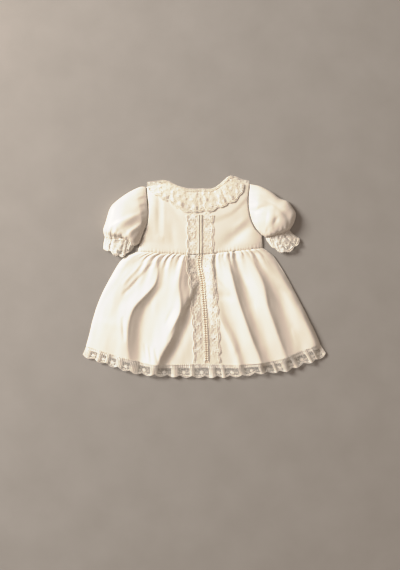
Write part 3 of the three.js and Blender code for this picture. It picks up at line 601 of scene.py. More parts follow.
def finished(name, mesh, points, flat, look, node_name, up=True):
    """Give a grid its places in mm, its flat map and its material, and make it ride on the gown."""
    mesh.faces.ensure_lookup_table()
    data = bpy.data.meshes.new(name + "_cloth")
    mesh.to_mesh(data)
    mesh.free()
    co = np.asarray(points, float) * MM
    co[:, :2] += SHIFT
    data.vertices.foreach_set("co", co.ravel())
    loops = np.empty(len(data.loops), int)
    data.loops.foreach_get("vertex_index", loops)
    data.uv_layers.new(name="flat").data.foreach_set("uv", (np.asarray(flat) * MM)[loops].ravel())
    data.polygons.foreach_set("use_smooth", np.ones(len(data.polygons), bool))
    data.update()
    normals = np.empty(3 * len(data.polygons))
    data.polygons.foreach_get("normal", normals)
    if up and normals.reshape(-1, 3)[:, 2].mean() < 0:
        data.flip_normals()
    data.materials.append(look)
    piece = placed(name + "_cloth", data)
    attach(piece, "root")
    if node_name:
        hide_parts(node_name)
    return piece


def shares(mesh):
    """The points of a unit grid, as shares across and along."""
    mesh.verts.ensure_lookup_table()
    co = np.array([p.co[:2] for p in mesh.verts])
    return co[:, 0] + 0.5, co[:, 1] + 0.5


def panel(name, across, along, place, height):
    """Lay a grid over a patch, lift it to its height and make it a sheet of satin."""
    mesh = bmesh.new()
    bmesh.ops.create_grid(mesh, x_segments=across, y_segments=along, size=0.5)
    u, v = shares(mesh)
    x, y = place(u, v)
    points = np.stack([x, y, height(x, y)], -1)
    flat = np.stack([u * place.width, v * place.height], -1)
    piece = finished(name, mesh, points, flat, SATIN, name)
    thicken(piece)
    return piece


print("a finished panel is", SATIN_THICK * 1000, "mm thick")

# %% The bodice, front and back
PAST_SEAM, PAST_MIDDLE = 0.8, 0.1       # how far a panel runs past its seams, and past the centre back
BACK_LIES = 0.8                         # how high the upper side of a flat back lies
side_lines = {side: side_line(SIDE[side][0], ARMHOLE[side]) for side in SIDE}
bodice_place = patch(WAIST, NECK, side_lines["left"], side_lines["right"], PAST_SEAM)
bodice = panel("bodice_front", 150, 90, bodice_place, bodice_top)

middle, neck_middle = 3, 5              # the centre's place in the list of the waist and of the neck
centre_back = [WAIST[middle], NECK[neck_middle]]
backs = {
    "left": patch(WAIST[:middle + 1], NECK[:neck_middle + 1], side_lines["left"], centre_back, PAST_MIDDLE),
    "right": patch(WAIST[middle:], NECK[neck_middle:], centre_back, side_lines["right"], PAST_MIDDLE),
}
for side, place in backs.items():
    panel(f"bodice_back_{side}", 40, 50, place, lambda x, y: back_height(x, y) + BACK_LIES)

print(bodice.name, "has", len(bodice.data.polygons), "cells")

# %% The skirt, front and back
skirt_place = patch(HEM, WAIST, SKIRT_SIDE["left"], SKIRT_SIDE["right"], PAST_SEAM)
skirt = panel("skirt_front", 300, 110, skirt_place, skirt_top)
panel("skirt_back", 90, 45, skirt_place, lambda x, y: BACK_LIES + 0.25 * mottle(x, y, 30, 4))
print(skirt.name, "has", len(skirt.data.polygons), "cells")

# %% [markdown]
# ## Puff sleeves
# A puff sleeve is one piece folded round and gathered at both ends: into the armhole, and onto elastic
# above the lace. It is laid down like a soft tube, so its underside is flat and its top is full. Folds
# run from both gathered ends and die out in the puff.
# %% The fullness and the folds of a sleeve
# Each row is a share of the way from the armhole to the elastic, and the height there in mm
PUFF = [(0, 7.8), (0.16, 13.8), (0.4, 18), (0.65, 20), (0.86, 17), (1, 7)]
UNDERSIDE, ROLL = 0.5, 1.3      # the height of a sleeve's flat underside, and of the roll at its rim
SLEEVE_CREASES = {
    # from x, from y, through any further points, rise, width to the left, width to the right
    "left": [
        (-107, 123, -131, 114, -147, 107.5, -163, 100, -177, 91, 2.3, 14, 3.5),
        (-110, 113, -132, 102, -150, 91, -162, 82, -0.9, 8, 6),
        (-108, 105, -124, 94, -136, 86, -147, 75, 2.0, 10, 3),
        (-111, 95, -127, 83, -139, 71, -0.7, 5, 5), (-141, 158, -122, 162, -1.3, 4, 4),
        (-168, 137, -142, 156, 0.8, 7, 8), (-108, 146, -150, 134, -0.7, 9, 9),
        (-166, 92, -161, 73, 1.7, 3, 4), (-157, 87, -154, 72, -1.0, 3, 3),
        (-172, 92, -170, 74, -1.0, 3, 3), (-179, 98, -179, 77, 1.0, 4, 4),
        (-118, 88, -134, 68, 0.9, 3, 4), (-146, 84, -145, 70, -0.8, 3, 3),
    ],
    "right": [
        (86, 161, 110, 159, 127, 156, 143, 149, 2.0, 3.5, 6),
        (86, 147.5, 110, 144.5, 128, 137, 144, 127, -1.7, 6, 3),
        (92, 113, 96, 121, 104, 127.5, 113, 130.5, 124, 131, -1.9, 4, 4),
        (113, 124, 135, 121, 149, 111, 153, 96, 2.4, 5, 12),
        (116, 106, 132, 104, 2.6, 19, 17),
        (137, 110, 134, 102, -1.3, 3.5, 3.5), (166, 120, 163, 92, 0.9, 3, 5),
        (88, 134, 112, 136, 0.8, 6, 6), (92, 98, 112, 84, -0.9, 5, 5),
        (119, 90, 120, 78, -1.0, 3, 3), (128, 90, 133, 77, 1.1, 3, 3),
        (142, 92, 146, 81, -1.1, 3, 3), (151, 96, 154, 84, 1.1, 3, 3),
    ],
}


def sleeve_top(side, x, y, u, v):
    """The puff, the gathers at its two ends, its folds, the dip of the elastic and the armhole seam."""
    bulge = np.maximum(np.sin(np.pi * v), 0) ** 0.33
    turns = v + 0.02 * np.sin(9 * v)
    ripple = lambda count: np.cos(2 * np.pi * count * turns)
    rise = y_on(PUFF, u)
    rise = rise + (0.4 * ripple(7) + 0.25 * ripple(13)) * hill(u - 0.08, 0.08)
    rise = rise + ripple(6) * step(0.7, 1, u)
    rise = rise + 0.9 * ripple(15) * step(0.8, 0.94, u)
    rise = rise + creases(SLEEVE_CREASES[side], x, y) * np.sin(np.pi * u)
    rise = rise + 0.7 * mottle(x, y, 16, 5)
    rise = rise - 1.4 * hill(u - 0.94, 0.025) - hill(u, 0.03)
    return UNDERSIDE + ROLL + np.maximum(rise, 0.8) * bulge


print("the puff is fullest at", max(PUFF, key=lambda row: row[1])[0], "of the way to the elastic")

# %% A sleeve as one closed round
def sleeve(side):
    """Fold a grid round: over the top for half its length, and back along the flat underside."""
    parts = SLEEVE[side]
    place = patch(parts["under"], parts["over"], ARMHOLE[side], parts["elastic"])
    # Across, the patch runs from the armhole to the elastic, and along, from underarm to shoulder
    round_steps, long_steps = 120, 70
    mesh = bmesh.new()
    bmesh.ops.create_grid(mesh, x_segments=long_steps, y_segments=round_steps, size=0.5)
    u, turn = shares(mesh)
    lower = turn > 0.5
    v = (1 - np.cos(2 * np.pi * turn)) / 2
    x, y = place(u, v)
    flat_z = UNDERSIDE + ROLL * np.exp(-np.sin(np.pi * v) * 6)
    z = np.where(lower, flat_z, sleeve_top(side, x, y, u, v))
    points = np.stack([x, y, z], -1)
    flat = np.stack([u * place.width, turn * 2 * place.height], -1)
    name = f"sleeve_{side}"
    piece = finished(name, mesh, points, flat, SATIN, name, up=False)
    seamed = bmesh.new()
    seamed.from_mesh(piece.data)
    bmesh.ops.remove_doubles(seamed, verts=seamed.verts[:], dist=1e-6)
    bmesh.ops.recalc_face_normals(seamed, faces=seamed.faces[:])
    seamed.to_mesh(piece.data)
    seamed.free()
    crown = max(piece.data.polygons, key=lambda face: face.center.z)
    if crown.normal.z < 0:
        piece.data.flip_normals()
    thicken(piece)
    return piece


for side in SLEEVE:
    made = sleeve(side)
    print(made.name, "rises to", round(max(p.co.z for p in made.data.vertices) * 1000, 1), "mm")

# %% [markdown]
# ## A kit for lace
# Machine lace is an open net of fine thread that carries flowers and leaves of denser stitching, with a
# corded edge of small loops. A piece then carries the flat drawing onto the place where it is gathered
# and sewn.
# %% Net
THREAD = 0.34                           # the width of a thread in open net, in mm


def net(flat, length, depth, cell, thread=THREAD, lift=0.0, keep=None):
    """A net from start to end: a grid whose cells are inset and emptied, with slanted threads."""
    mesh = bmesh.new()
    across = max(2, round((length[1] - length[0]) / cell))
    along = max(2, round((depth[1] - depth[0]) / cell))
    bmesh.ops.create_grid(mesh, x_segments=across, y_segments=along, size=0.5)
    for p in mesh.verts:
        row = round((p.co.y + 0.5) * along)
        p.co.x = length[0] + (p.co.x + 0.5) * (length[1] - length[0]) + (0.5 * cell if row % 2 else 0)
        p.co.y = depth[0] + (p.co.y + 0.5) * (depth[1] - depth[0])
        p.co.z = lift
    if keep:
        gone = [f for f in mesh.faces if not keep(f.calc_center_median().x, f.calc_center_median().y)]
        bmesh.ops.delete(mesh, geom=gone, context="FACES")
    holes = mesh.faces[:]
    bmesh.ops.inset_individual(mesh, faces=holes, thickness=thread / 2, use_even_offset=True)
    bmesh.ops.delete(mesh, geom=holes, context="FACES_ONLY")
    join(flat, mesh)


def join(flat, mesh):
    """Add a small drawing to the flat one."""
    carrier = bpy.data.meshes.new("carrier")
    mesh.to_mesh(carrier)
    mesh.free()
    flat.from_mesh(carrier)
    bpy.data.meshes.remove(carrier)


print("open net has threads of", THREAD, "mm")

# %% Petals, flowers and cords
def petal(flat, s, d, long, wide, turn, lift=0.3):
    """One stitched petal or leaf: a small disc with eight sides, lifted a little off the net."""
    matrix = (Matrix.Translation((s, d, lift)) @ Matrix.Rotation(turn, 4, "Z")
              @ Matrix.Diagonal((long / 2, wide / 2, 1, 1)))
    bmesh.ops.create_circle(flat, cap_ends=True, segments=8, radius=1, matrix=matrix)


def flower(flat, s, d, size, petals=5, turn=0.0, lift=0.35):
    """Petals in a ring, and a round middle above them."""
    for k in range(petals):
        a = turn + 2 * math.pi * k / petals
        petal(flat, s + 0.55 * size * math.cos(a), d + 0.55 * size * math.sin(a),
              0.85 * size, 0.5 * size, a, lift)
    petal(flat, s, d, 0.42 * size, 0.42 * size, 0, lift + 0.25)


def cord(flat, path, radius, lift=0.4, sides=6):
    """A raised thread along a path of flat points."""
    path = np.asarray(path, float)
    mesh = bmesh.new()
    bmesh.ops.create_grid(mesh, x_segments=len(path) - 1, y_segments=sides, size=0.5)
    u, v = shares(mesh)
    i = u * (len(path) - 1)
    ahead = np.gradient(path, axis=0)
    ahead /= np.maximum(np.linalg.norm(ahead, axis=1), 1e-9)[:, None]
    index = np.round(i).astype(int)
    turn = 2 * np.pi * v
    side = np.stack([-ahead[index, 1], ahead[index, 0]], -1)
    xy = path[index] + side * (radius * np.cos(turn))[:, None]
    for p, (x, y), t in zip(mesh.verts, xy, turn):
        p.co = (x, y, lift + radius * math.sin(t))
    bmesh.ops.remove_doubles(mesh, verts=mesh.verts[:], dist=1e-4)
    join(flat, mesh)


def straight(flat, s, d, radius, lift=0.4, sides=6):
    """A raised thread over the lengths s, at one depth."""
    cord(flat, np.stack([s, np.full_like(s, d)], -1), radius, lift, sides)


def border(flat, long, radius=0.5, every=3.1, rows=(0.0, 2.2)):
    """The corded edge with its small loops."""
    s = np.arange(0, long, 1.1)
    for d in rows:
        straight(flat, s, d + 0.5, radius)
    for k in range(int(long / every)):
        petal(flat, (k + 0.5) * every, -0.5, 1.3, 2.0, 0)


print("a flower has 5 or 6 petals round its middle, and a border two cords and small loops")

# %% From the flat drawing to its place
UNDER_LIES, BACK_COLLAR_LIES = 0.5, 0.4     # the heights of lace that lies flat below the rest
MEAN_BUMP = 0.64                            # so that scallops reach out and in about equally


def lace_piece(name, flat, surface, node_name=None, look=LACE_LOOK):
    """Carry the flat drawing onto its place. surface(s, d) gives x, y, z in mm."""
    bmesh.ops.triangulate(flat, faces=[f for f in flat.faces if len(f.verts) > 4])
    flat.verts.ensure_lookup_table()
    co = np.array([p.co[:] for p in flat.verts])
    x, y, z = surface(co[:, 0], co[:, 1])
    points = np.stack([x, y, z + co[:, 2]], -1)
    piece = finished(name, flat, points, co[:, :2], look, node_name)
    faces = len(piece.data.polygons)
    area = sum(face.area for face in piece.data.polygons)
    print(name, faces, "faces,", round(area * 1e4, 1), "square cm of thread")
    return piece


def scalloped(place, count, depth):
    """Move the free edge of a patch in and out as scallops. The free edge is at v = 0."""
    def moved(u, v):
        x, y = place(u, v)
        x0, y0 = place(u, v * 0)
        x1, y1 = place(u, v * 0 + 1)
        long = np.hypot(x0 - x1, y0 - y1) + 1e-9
        bump = depth * (np.abs(np.sin(np.pi * count * u)) - MEAN_BUMP) * (1 - v) ** 2
        return x + bump * (x0 - x1) / long, y + bump * (y0 - y1) / long
    return moved


print("flat lace lies at", UNDER_LIES, "and", BACK_COLLAR_LIES, "mm")

# %% [markdown]
# ## The lace at the hem
# The hem lace is gathered as it is sewn on, so it falls in short pleats. Between the pleats the net
# lies open and lets the surface show through, with a flower in each window. The heading is crowded
# with gathers and covers the raw edge of the satin.
# %% Windows and pleats
WINDOWS = [
    # from x, to x: the open windows of the net along the hem, in mm
    (-219, -205), (-196, -187.5), (-180, -167.8), (-154.3, -140.6), (-124, -101.3),
    (-87.6, -61.8), (-48.3, -27), (-17.9, 9.3), (21.5, 32.1), (39.7, 65.4), (76, 103.4),
    (112.3, 130.5), (136.6, 146.5), (157.7, 167.8), (175.9, 197.2), (204, 211), (215.3, 225.4),
]
HEM_LONG, HEM_DEEP = line(HEM_EDGE).length, 23.0
hem_place = scalloped(between(HEM_EDGE, HEM), 20, 4)
hem_left, hem_right = HEM_EDGE[0][0], HEM_EDGE[-1][0]
windows = [tuple((x - hem_left) / (hem_right - hem_left) * HEM_LONG for x in row) for row in WINDOWS]
pleats = [(a[1], b[0]) for a, b in zip(windows, windows[1:])]
pleats = [(0, windows[0][0]), *pleats, (windows[-1][1], HEM_LONG)]
HEADING = 0.74                          # the heading starts at this share of the depth
print(len(windows), "windows and", len(pleats), "pleats")

# %% How the hem lace falls
def hem_ruffle(s, v):
    """Pleats stand up between the windows, and small gathers crowd the heading."""
    lift = np.zeros_like(s)
    for start, end in pleats:
        width = max(end - start, 4)
        lift += 1.7 * hill(s - (start + end) / 2, 0.42 * width) * (0.5 + 0.5 * (1 - v))
        count = max(1, round(width / 3.2))
        for k in range(count):
            lift += 0.5 * hill(s - start - (k + 0.5) * width / count, 0.8)
    fine = np.abs(np.sin(s * 0.95 + 1.6 * np.sin(s * 0.11))) * step(0.55, 0.85, v)
    return lift + 0.9 * fine + 0.7 * wave(s / 23.3) * (1 - v)


def hem_surface(front):
    """The front lace falls from the skirt's own folds, and the back lace lies flat."""
    def surface(s, d):
        u, v = np.clip(s / HEM_LONG, 0, 1), d / HEM_DEEP
        x, y = hem_place(u, v)
        if not front:
            return x, y, UNDER_LIES + 0.3 * wave(s / 14)
        on_hem = np.clip(x, HEM[0][0] + 0.5, HEM[-1][0] - 0.5)
        skirt_z = skirt_top(on_hem, np.maximum(y, y_on(HEM, on_hem) + 0.3)) - 2 * CLOTH - SEAM
        base = 2 * LACE + SEAM + np.maximum(skirt_z, 0) * (0.35 + 0.65 * np.clip(v, 0, 1))
        ends = np.minimum(1, 14 * np.minimum(u, 1 - u) + 0.15)
        over = 0.8 * step(0.9, 1.02, v)
        return x, y, base + over + hem_ruffle(s, v) * ends
    return surface


print("the pleats rise up to", round(float(hem_ruffle(np.arange(0, HEM_LONG), 0.5).max()), 1), "mm")

# %% Drawing the hem lace
def hem_lace(name, front):
    """Open windows with their flowers, dense pleats between them, the heading and the edge."""
    flat = bmesh.new()
    deep = HEADING * HEM_DEEP
    for start, end in windows:
        net(flat, (start, end), (1.5, deep), 1.75, 0.3)
        middle, width = (start + end) / 2, end - start
        flower(flat, middle, 0.5 * deep, min(4.4, 0.26 * width + 1.6), 6, 0.3)
        for turn in (-1, 1):
            for reach in (0.28, 0.4):
                petal(flat, middle + turn * reach * width, 0.36 * deep + 6 * reach, 3.2, 1.2,
                      turn * (0.5 + reach))
            petal(flat, middle + turn * 0.2 * width, 0.24 * deep, 2.8, 1.1, -turn * 0.4)
            petal(flat, middle + turn * 0.26 * width, 0.8 * deep, 2.6, 1.1, turn * 1.1)
        for k in range(max(1, int(width / 3))):
            petal(flat, start + (k + 0.5) * 3, deep - 1.2, 1.3, 1.3, 0)
    for start, end in pleats:
        if end - start > 2:
            net(flat, (start, end), (1.0, deep), 1.5, 0.8, 0.1)
            net(flat, (start + 0.4, end + 0.4), (1.4, deep + 0.4), 1.5, 0.5, 0.7)
    if front:
        net(flat, (0, HEM_LONG), (deep, HEM_DEEP + 4.5), 1.5, 1.0, 0.2)
        for k in range(int(HEM_LONG / 3.4)):
            s = (k + 0.5) * 3.4
            wide = 0.8 + 0.5 * math.sin(1.7 * k)
            petal(flat, s, deep + 3.2 + 0.9 * math.sin(2.3 * k), 1.6 + wide, 1.3,
                  1.4 + 0.5 * math.sin(k), 0.6)
    else:
        net(flat, (0, HEM_LONG), (deep, HEM_DEEP), 2.2, 1.0)
    border(flat, HEM_LONG)
    return lace_piece(name, flat, hem_surface(front), name)


hem_lace("hem_lace_front", True)
hem_lace("hem_lace_back", False)

# %% [markdown]
# ## The frills at the cuffs
# The same lace, gathered tighter, makes a frill below the elastic. It ruffles in deep waves and stands
# open only in a few windows near its edge.
# %% The frills at the cuffs
CUFF_DEEP = 24.0
OPEN = {"left": [(0.12, 0.3), (0.42, 0.56)], "right": [(0.5, 0.62), (0.72, 0.86)]}
SEEDS = {"left": 11, "right": 13}       # so that the two frills don't froth alike


def cuff_lace(side, layer):
    """One half of a frill: the ruffled top or the flat underside."""
    parts = SLEEVE[side]
    free, elastic = parts["edge"], parts["elastic"]
    place = scalloped(between(free, elastic, parts["far"]), 4, 3)
    long = line(free).length

    def surface(s, d):
        u, v = np.clip(s / long, 0, 1), d / CUFF_DEEP
        x, y = place(u, v)
        if layer == "under":
            return x, y, UNDER_LIES + 0.3 * wave(s / 9)
        bulge = np.maximum(np.sin(np.pi * u), 0) ** 0.5
        seed = SEEDS[side]
        deep = 2.0 * wave(3.6 * u + 0.45 * np.sin(7 * u) + 0.25 * v) * (1 - 0.6 * v)
        fine = 1.1 * wave(11 * u + 1.3 * np.sin(6 * u) + 0.6 * v) * (0.3 + 0.7 * v)
        froth = 1.7 * mottle(x, y, 8, seed) + 0.9 * mottle(x, y, 4, seed + 1)
        return x, y, 2 * LACE + SEAM + np.maximum(5 + 1.5 * v + deep + fine + froth, 0.5) * bulge

    flat = bmesh.new()
    spans = [(a * long, b * long) for a, b in OPEN[side]]
    dense = lambda s, d: not (any(a < s < b for a, b in spans) and 3 < d < 11)
    net(flat, (0, long), (1.2, CUFF_DEEP), 1.5, 0.9, 0.1, keep=dense)
    for a, b in spans:
        net(flat, (a, b), (3, 11), 1.6)
    if layer == "top":
        net(flat, (0.4, long), (8, CUFF_DEEP + 1.5), 1.5, 0.6, 0.7)
        for k in range(int(long / 7)):
            flower(flat, (k + 0.5) * 7, 7 + 1.2 * math.sin(2 * k), 2.6, 5, k)
            petal(flat, (k + 0.5) * 7 + 3.2, 12.5, 3.0, 1.1, 0.9)
        s = np.linspace(0, long, 60)
        for d in (CUFF_DEEP - 1.0, CUFF_DEEP + 0.8):
            cord(flat, np.stack([s, d + 0.3 * np.sin(s)], -1), 0.45, 0.9)
    border(flat, long)
    name = f"cuff_lace_{side}_{layer}"
    return lace_piece(name, flat, surface, name)


for side in SLEEVE:
    for layer in ("top", "under"):
        cuff_lace(side, layer)

# %% [markdown]
# ## The collar
# The collar is one flounce of lace, gathered round the neck and lying over the front and, past the
# shoulders, under the back. Its gathers fan out from the neckline.
# %% How the collar falls
COLLAR_LONG, COLLAR_DEEP = line(COLLAR["free"]).length, 44.0
collar_place = scalloped(between(COLLAR["free"], COLLAR["neck"]), 9, 3)


def collar_surface(s, d):
    """Gathers that fan out from the neck, over the bodice that they lie on."""
    u, v = np.clip(s / COLLAR_LONG, 0, 1), np.clip(d / COLLAR_DEEP, -0.1, 1)
    x, y = collar_place(u, v)
    edge = 2 * LACE + 2 * CLOTH + 3 * SEAM
    under = np.maximum(bodice_top(x, np.minimum(y, y_on(NECK, x) - 0.2)), edge - 1)
    bend = 0.5 * np.sin(9 * u) + 0.2 * np.sin(23 * u + 1) + 0.15 * v
    uneven = 0.8 + 0.7 * mottle(x, y, 18, 7)
    ruffle = 2.1 * wave(5.5 * u + bend) * (1 - 0.6 * v) + 1.0 * wave(13 * u + 2 * bend) * (1 - 0.4 * v)
    rim = 2.2 * hill(v - 0.97, 0.05)
    ragged = 1.3 * mottle(s, 0 * s, 5, 8) * (1 - v) ** 2
    settled = 0.45 + 0.55 * np.clip(5 * v, 0, 1)
    froth = 0.5 * np.maximum(mottle(x, y, 5.5, 9), -0.3)
    return x, y + ragged, under + 0.3 + (ruffle * uneven + froth) * settled + rim


print("the collar's free edge is", round(COLLAR_LONG), "mm long")

# %% Drawing the collar's front
flat = bmesh.new()
net(flat, (0, COLLAR_LONG), (1.2, COLLAR_DEEP), 1.9, 0.4)
count = round(COLLAR_LONG / 15.5)
for k in range(count):
    s = (k + 0.5) * COLLAR_LONG / count
    flower(flat, s, 10, 5.6, 6, 0.4 * k)
    flower(flat, s + 7.5, 24, 4.8, 5, 0.7 * k)
    flower(flat, s + 2, 35, 3.6, 5, k)
    for turn in (-1, 1):
        petal(flat, s + turn * 5, 6, 4.0, 1.6, turn * 0.8)
        petal(flat, s + turn * 4.5, 15.5, 3.8, 1.4, -turn * 0.9)
        petal(flat, s + turn * 3 + 2, 29, 3.2, 1.2, turn * 1.2)
    petal(flat, s + 7.5, 3, 3.6, 2.4, 0)
border(flat, COLLAR_LONG, 0.7, 3.3, (0.0, 2.4))
s = np.linspace(2, COLLAR_LONG - 2, 120)
for d in (COLLAR_DEEP - 1.5, COLLAR_DEEP - 5):
    cord(flat, np.stack([s, d + 0.4 * np.sin(1.3 * s)], -1), 0.4, 0.5)
lace_piece("collar_front", flat, collar_surface,
           "collar_front")

# %% [markdown]
# ### The collar's back
# Behind the shoulders the same flounce lies flat under the back, in two halves that meet at the
# opening. Little of it ever shows, so its pattern is plainer.
# %% The collar's back
for side, rows in BACK_COLLAR.items():
    free, neck = rows["free"], rows["neck"]
    back_place = between(free, neck)
    long, deep = line(neck).length, 30.0

    def back_surface(s, d, back_place=back_place, long=long, deep=deep):
        x, y = back_place(np.clip(s / long, 0, 1), np.clip(d / deep, 0, 1))
        return x, y, BACK_COLLAR_LIES

    flat = bmesh.new()
    net(flat, (0, long), (0.3, deep - 0.3), 1.8, 0.7)
    for k in range(int(long / 9)):
        flower(flat, (k + 0.5) * 9, deep - 4, 3.0, 5, k)
        flower(flat, (k + 0.5) * 9, 6, 3.0, 5, k)
    for d in (0.8, deep - 0.8):
        s = np.linspace(0.5, long - 0.5, 70)
        straight(flat, s, d, 0.4, 0.35)
    lace_piece(f"collar_back_{side}", flat, back_surface,
               f"collar_back_{side}")

# %% [markdown]
# ## Strips of lace down the front
# Two strips of scalloped lace run down the centre front, with a narrow trim between them. They lie on
# the satin and follow its folds. Where the waist seam dips they bridge it, as a flat band does.
# %% How a band lies down the front
TRIM_WIDE, SHADE_GROUND_WIDE, STRIP_WIDE = 6.6, 6.4, 19.0
SCALLOP = 25.0                  # from one scallop to the next
STRIP_LIFT, TRIM_LIFT = 0.15, 0.5       # how far they lie off the satin
KNOT = (1.5, 1.45, 1.15)        # half the length, width and height of a knot
BRIDGE = 4.0                    # nearer to the waist seam than this a band bridges the seam's dip
tops = {"bodice": bodice_top, "skirt": skirt_top}


def centre_span(panel_name):
    """The lower and the upper end of the trim on a panel."""
    rows = TRIM_LINE[panel_name]
    return (rows[-1][1], rows[0][1])


def clear_of_seam(panel_name, x, y, gap):
    """Keep y at least a gap away from the waist seam, on the panel's own side of it."""
    edge = y_on(WAIST, x)
    return np.minimum(y, edge - gap) if panel_name == "skirt" else np.maximum(y, edge + gap)


def down_the_front(panel_name, s, aside, gap):
    """Where a band lies that runs down the front, aside by some mm from the middle of the trim."""
    y = centre_span(panel_name)[1] - s
    x = x_on(TRIM_LINE[panel_name], y) + aside
    y = clear_of_seam(panel_name, x, y, gap)
    return x, y, tops[panel_name](x, clear_of_seam(panel_name, x, y, BRIDGE))


def strip_surface(panel_name, turn):
    """A strip beside the trim, scalloped outwards and slightly puckered."""
    high = centre_span(panel_name)[1]

    def surface(s, d):
        bump = 3.2 * np.abs(np.sin(np.pi * (high - s) / SCALLOP)) * np.clip(d / STRIP_WIDE, 0, 1) ** 2
        x, y, z = down_the_front(panel_name, s, turn * (d + TRIM_WIDE / 2 + 0.2 + bump), 0.4)
        pucker = 0.35 + 0.8 * mottle(s, turn * d, 5.4, 21)
        return x, y, z + STRIP_LIFT + np.maximum(pucker, 0)

    return surface


print("a strip is", STRIP_WIDE, "mm wide, with a scallop every", SCALLOP, "mm")

# %% Drawing the strips
for panel_name in TRIM_LINE:
    low, high = centre_span(panel_name)
    long = high - low
    for side, turn in (("left", -1), ("right", 1)):
        flat = bmesh.new()
        net(flat, (0, long), (0.3, STRIP_WIDE - 1.5), 2.0)
        for k in range(math.ceil(long / SCALLOP) + 1):
            s = high - (math.floor(high / SCALLOP) + 0.5 - k) * SCALLOP
            if not 2 < s < long - 2:
                continue
            flower(flat, s, 9.5, 6.4, 6, 0.5 * k)
            for other in (-1, 1):
                for share, reach, big in ((4.5, 15.0, 4.6), (8.5, 12.5, 4.6), (11.5, 9.0, 4.0)):
                    petal(flat, s + other * share, reach, big, 2.2, -other * 0.15 * share)
                petal(flat, s + other * 7.5, 6.0, 4.6, 1.9, other * 0.8)
                petal(flat, s + other * 3.8, 3.0, 3.6, 1.6, -other * 0.6)
            petal(flat, s, 16.0, 3.4, 2.6, 0)
        s = np.arange(0.5, long - 0.5, 1.4)
        for d, radius in ((0.5, 0.42), (STRIP_WIDE - 2.2, 0.45), (STRIP_WIDE - 0.2, 0.52)):
            straight(flat, s, d, radius, 0.6 * radius)
        for k in range(int(long / 3.1)):
            petal(flat, (k + 0.5) * 3.1, STRIP_WIDE + 0.9, 2.4, 1.7, 0, 0.35)
        name = f"strip_{side}_{panel_name}"
        lace_piece(name, flat, strip_surface(panel_name, turn),
                   name)

# %% [markdown]
# ## The beaded trim
# A narrow ladder of small knots covers the gap between the strips. On the bodice it is drawn tight and
# shows as two cords with a channel between them. On the skirt it opens, and its knots sit in two
# columns. A darker band lies under them as painted shade between the knots, so that the knots stand out.
# %% The beaded trim
def trim(panel_name):
    """The drawn-tight trim of the bodice, or the open ladder of the skirt, on a darker band of painted
    shade.
    """
    low, high = centre_span(panel_name)
    long = high - low
    flat = bmesh.new()
    if panel_name == "bodice":
        s = np.arange(0.2, long, 1.2)
        for d in (-2.4, 2.4):
            straight(flat, s, d, 0.75, 0.6, 8)
        for d in (-1.2, 1.2):
            straight(flat, s, d, 0.3, 0.2)
        for k in range(int(long / 2.3)):
            petal(flat, 1 + k * 2.3, 0, 0.9, 2.6, 0, 0.35)
    else:
        for k in range(int(long / 4.3)):
            s = 2.0 + k * 4.3
            for d in (-2.1, 2.1):
                bmesh.ops.create_uvsphere(
                    flat, u_segments=10, v_segments=6, radius=1,
                    matrix=Matrix.Translation((s, d, 0.9)) @ Matrix.Diagonal((*KNOT, 1)))
            cord(flat, [(s, d) for d in (-3.2, -1.5, 0, 1.5, 3.2)], 0.35, 0.3)
        s = np.arange(0.2, long, 1.1)
        for d in (-3.3, 3.3):
            straight(flat, s, d, 0.25, 0.1)

    def surface(s, d):
        x, y, z = down_the_front(panel_name, s, d, 0.3)
        return x, y, z + TRIM_LIFT

    # A darker band under the knots, in painted shade between them.
    base = bmesh.new()
    bmesh.ops.create_grid(base, x_segments=round(long / 1.5), y_segments=4, size=0.5)
    for p in base.verts:
        p.co = ((p.co.x + 0.5) * long, p.co.y * SHADE_GROUND_WIDE, -0.3)
    lace_piece(f"trim_{panel_name}_painted_shade", base, surface, None, SHADE_GROUND_LOOK)
    return lace_piece(f"trim_{panel_name}", flat, surface, f"trim_{panel_name}", TRIM_LOOK)


for panel_name in TRIM_LINE:
    trim(panel_name)

# %% [markdown]
# ## The surface it lies on
# The gown lies on a plain pale surface, which belongs to the stage and not to the part.
# %% The floor
def floor_look(nodes, links, shader):
    place = node(nodes, "ShaderNodeTexCoord")
    grain = node(nodes, "ShaderNodeTexNoise", Scale=14.0, Detail=4.0)
    links.new(place.outputs["Object"], grain.inputs["Vector"])
    tone = ramp(nodes, links, grain.outputs["Fac"], (0.40, 0.37, 0.335, 1), (0.43, 0.40, 0.365, 1))
    links.new(tone.outputs[0], shader.inputs["Base Color"])


mesh = bmesh.new()
bmesh.ops.create_grid(mesh, x_segments=2, y_segments=2, size=3.0)
data = bpy.data.meshes.new("floor")
mesh.to_mesh(data)
mesh.free()
data.materials.append(material("floor", (0.42, 0.39, 0.35), 0.9, 0.0, floor_look))
floor = placed("floor", data)
print("the floor is", round(floor.dimensions.x, 1), "m wide")

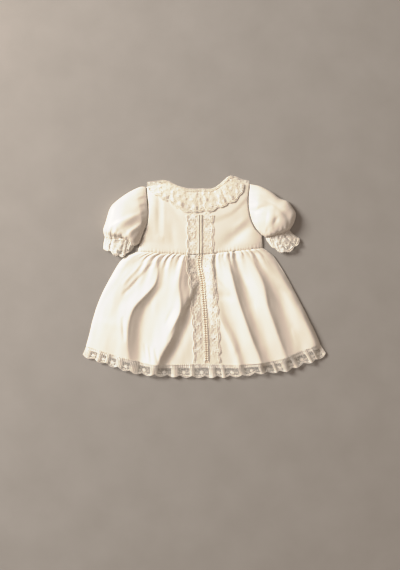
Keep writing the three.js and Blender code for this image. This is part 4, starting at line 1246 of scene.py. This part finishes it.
# %% [markdown]
# ## Light
# One large soft light stands low at the upper left, far enough away to reach all of the gown evenly, so
# that each fold has a bright side and a soft shadow. A weak warm fill and a warm room open the shade.
# %% Lights
def lamp(name, place, size, power, colour):
    """A round, soft light that is turned to the gown."""
    light = bpy.data.lights.new(name, "AREA")
    light.shape = "DISK"
    light.size = size
    light.energy = power
    light.color = colour
    made = placed(name, light)
    made.location = place
    made.rotation_euler = (-Vector(place)).to_track_quat("-Z", "Y").to_euler()


lamp("key", (-2.42, 1.29, 1.62), 1.3, 140, (1.0, 0.99, 0.97))
lamp("fill", (1.2, -0.8, 1.6), 1.6, 3, (1.0, 0.85, 0.75))
world = bpy.data.worlds.new("room")
world.use_nodes = True
world.node_tree.nodes["Background"].inputs[0].default_value = (1.0, 0.82, 0.70, 1)
world.node_tree.nodes["Background"].inputs[1].default_value = 0.30
bpy.context.scene.world = world
print("lights", [light.name for light in bpy.data.lights])

# %% [markdown]
# ## The camera's response
# Bright cloth has to roll off softly instead of clipping to white, as it does on a photograph. A curve
# from light to shown brightness does that for the whole picture.
# %% The camera's response
tone = bpy.context.scene.view_settings
tone.view_transform = "Standard"
tone.use_curve_mapping = True
response = tone.curve_mapping
response.white_level = (1.6, 1.6, 1.6)
for light, shown in ((0.19, 0.25), (0.34, 0.47), (0.5, 0.765), (0.6, 0.865), (0.74, 0.905)):
    response.curves[3].points.new(light, shown)
response.curves[3].points[-1].location = (1, 0.97)
response.update()
print("the response has", len(response.curves[3].points), "points")

# %% [markdown]
# ## The camera
# It looks straight down, and is set so that one pixel of the picture is 1.9 mm on the gown.
# %% The camera
DISTANCE, PIXEL, SENSOR = 1.5, 0.0019, 24
PICTURE_HIGH, PICTURE_MIDDLE, GOWN_MIDDLE = 570, (200, 285), (204, 276.75)      # in pixels
camera = bpy.data.cameras.new("camera")
camera.sensor_fit = "VERTICAL"
camera.sensor_height = SENSOR
camera.lens = SENSOR * DISTANCE / (PICTURE_HIGH * PIXEL)
eye = placed("camera", camera)
eye.location = ((PICTURE_MIDDLE[0] - GOWN_MIDDLE[0]) * PIXEL + SHIFT[0],
                (GOWN_MIDDLE[1] - PICTURE_MIDDLE[1]) * PIXEL + SHIFT[1], DISTANCE)
bpy.context.scene.camera = eye
print("lens", round(camera.lens, 1), "mm at", DISTANCE, "m")
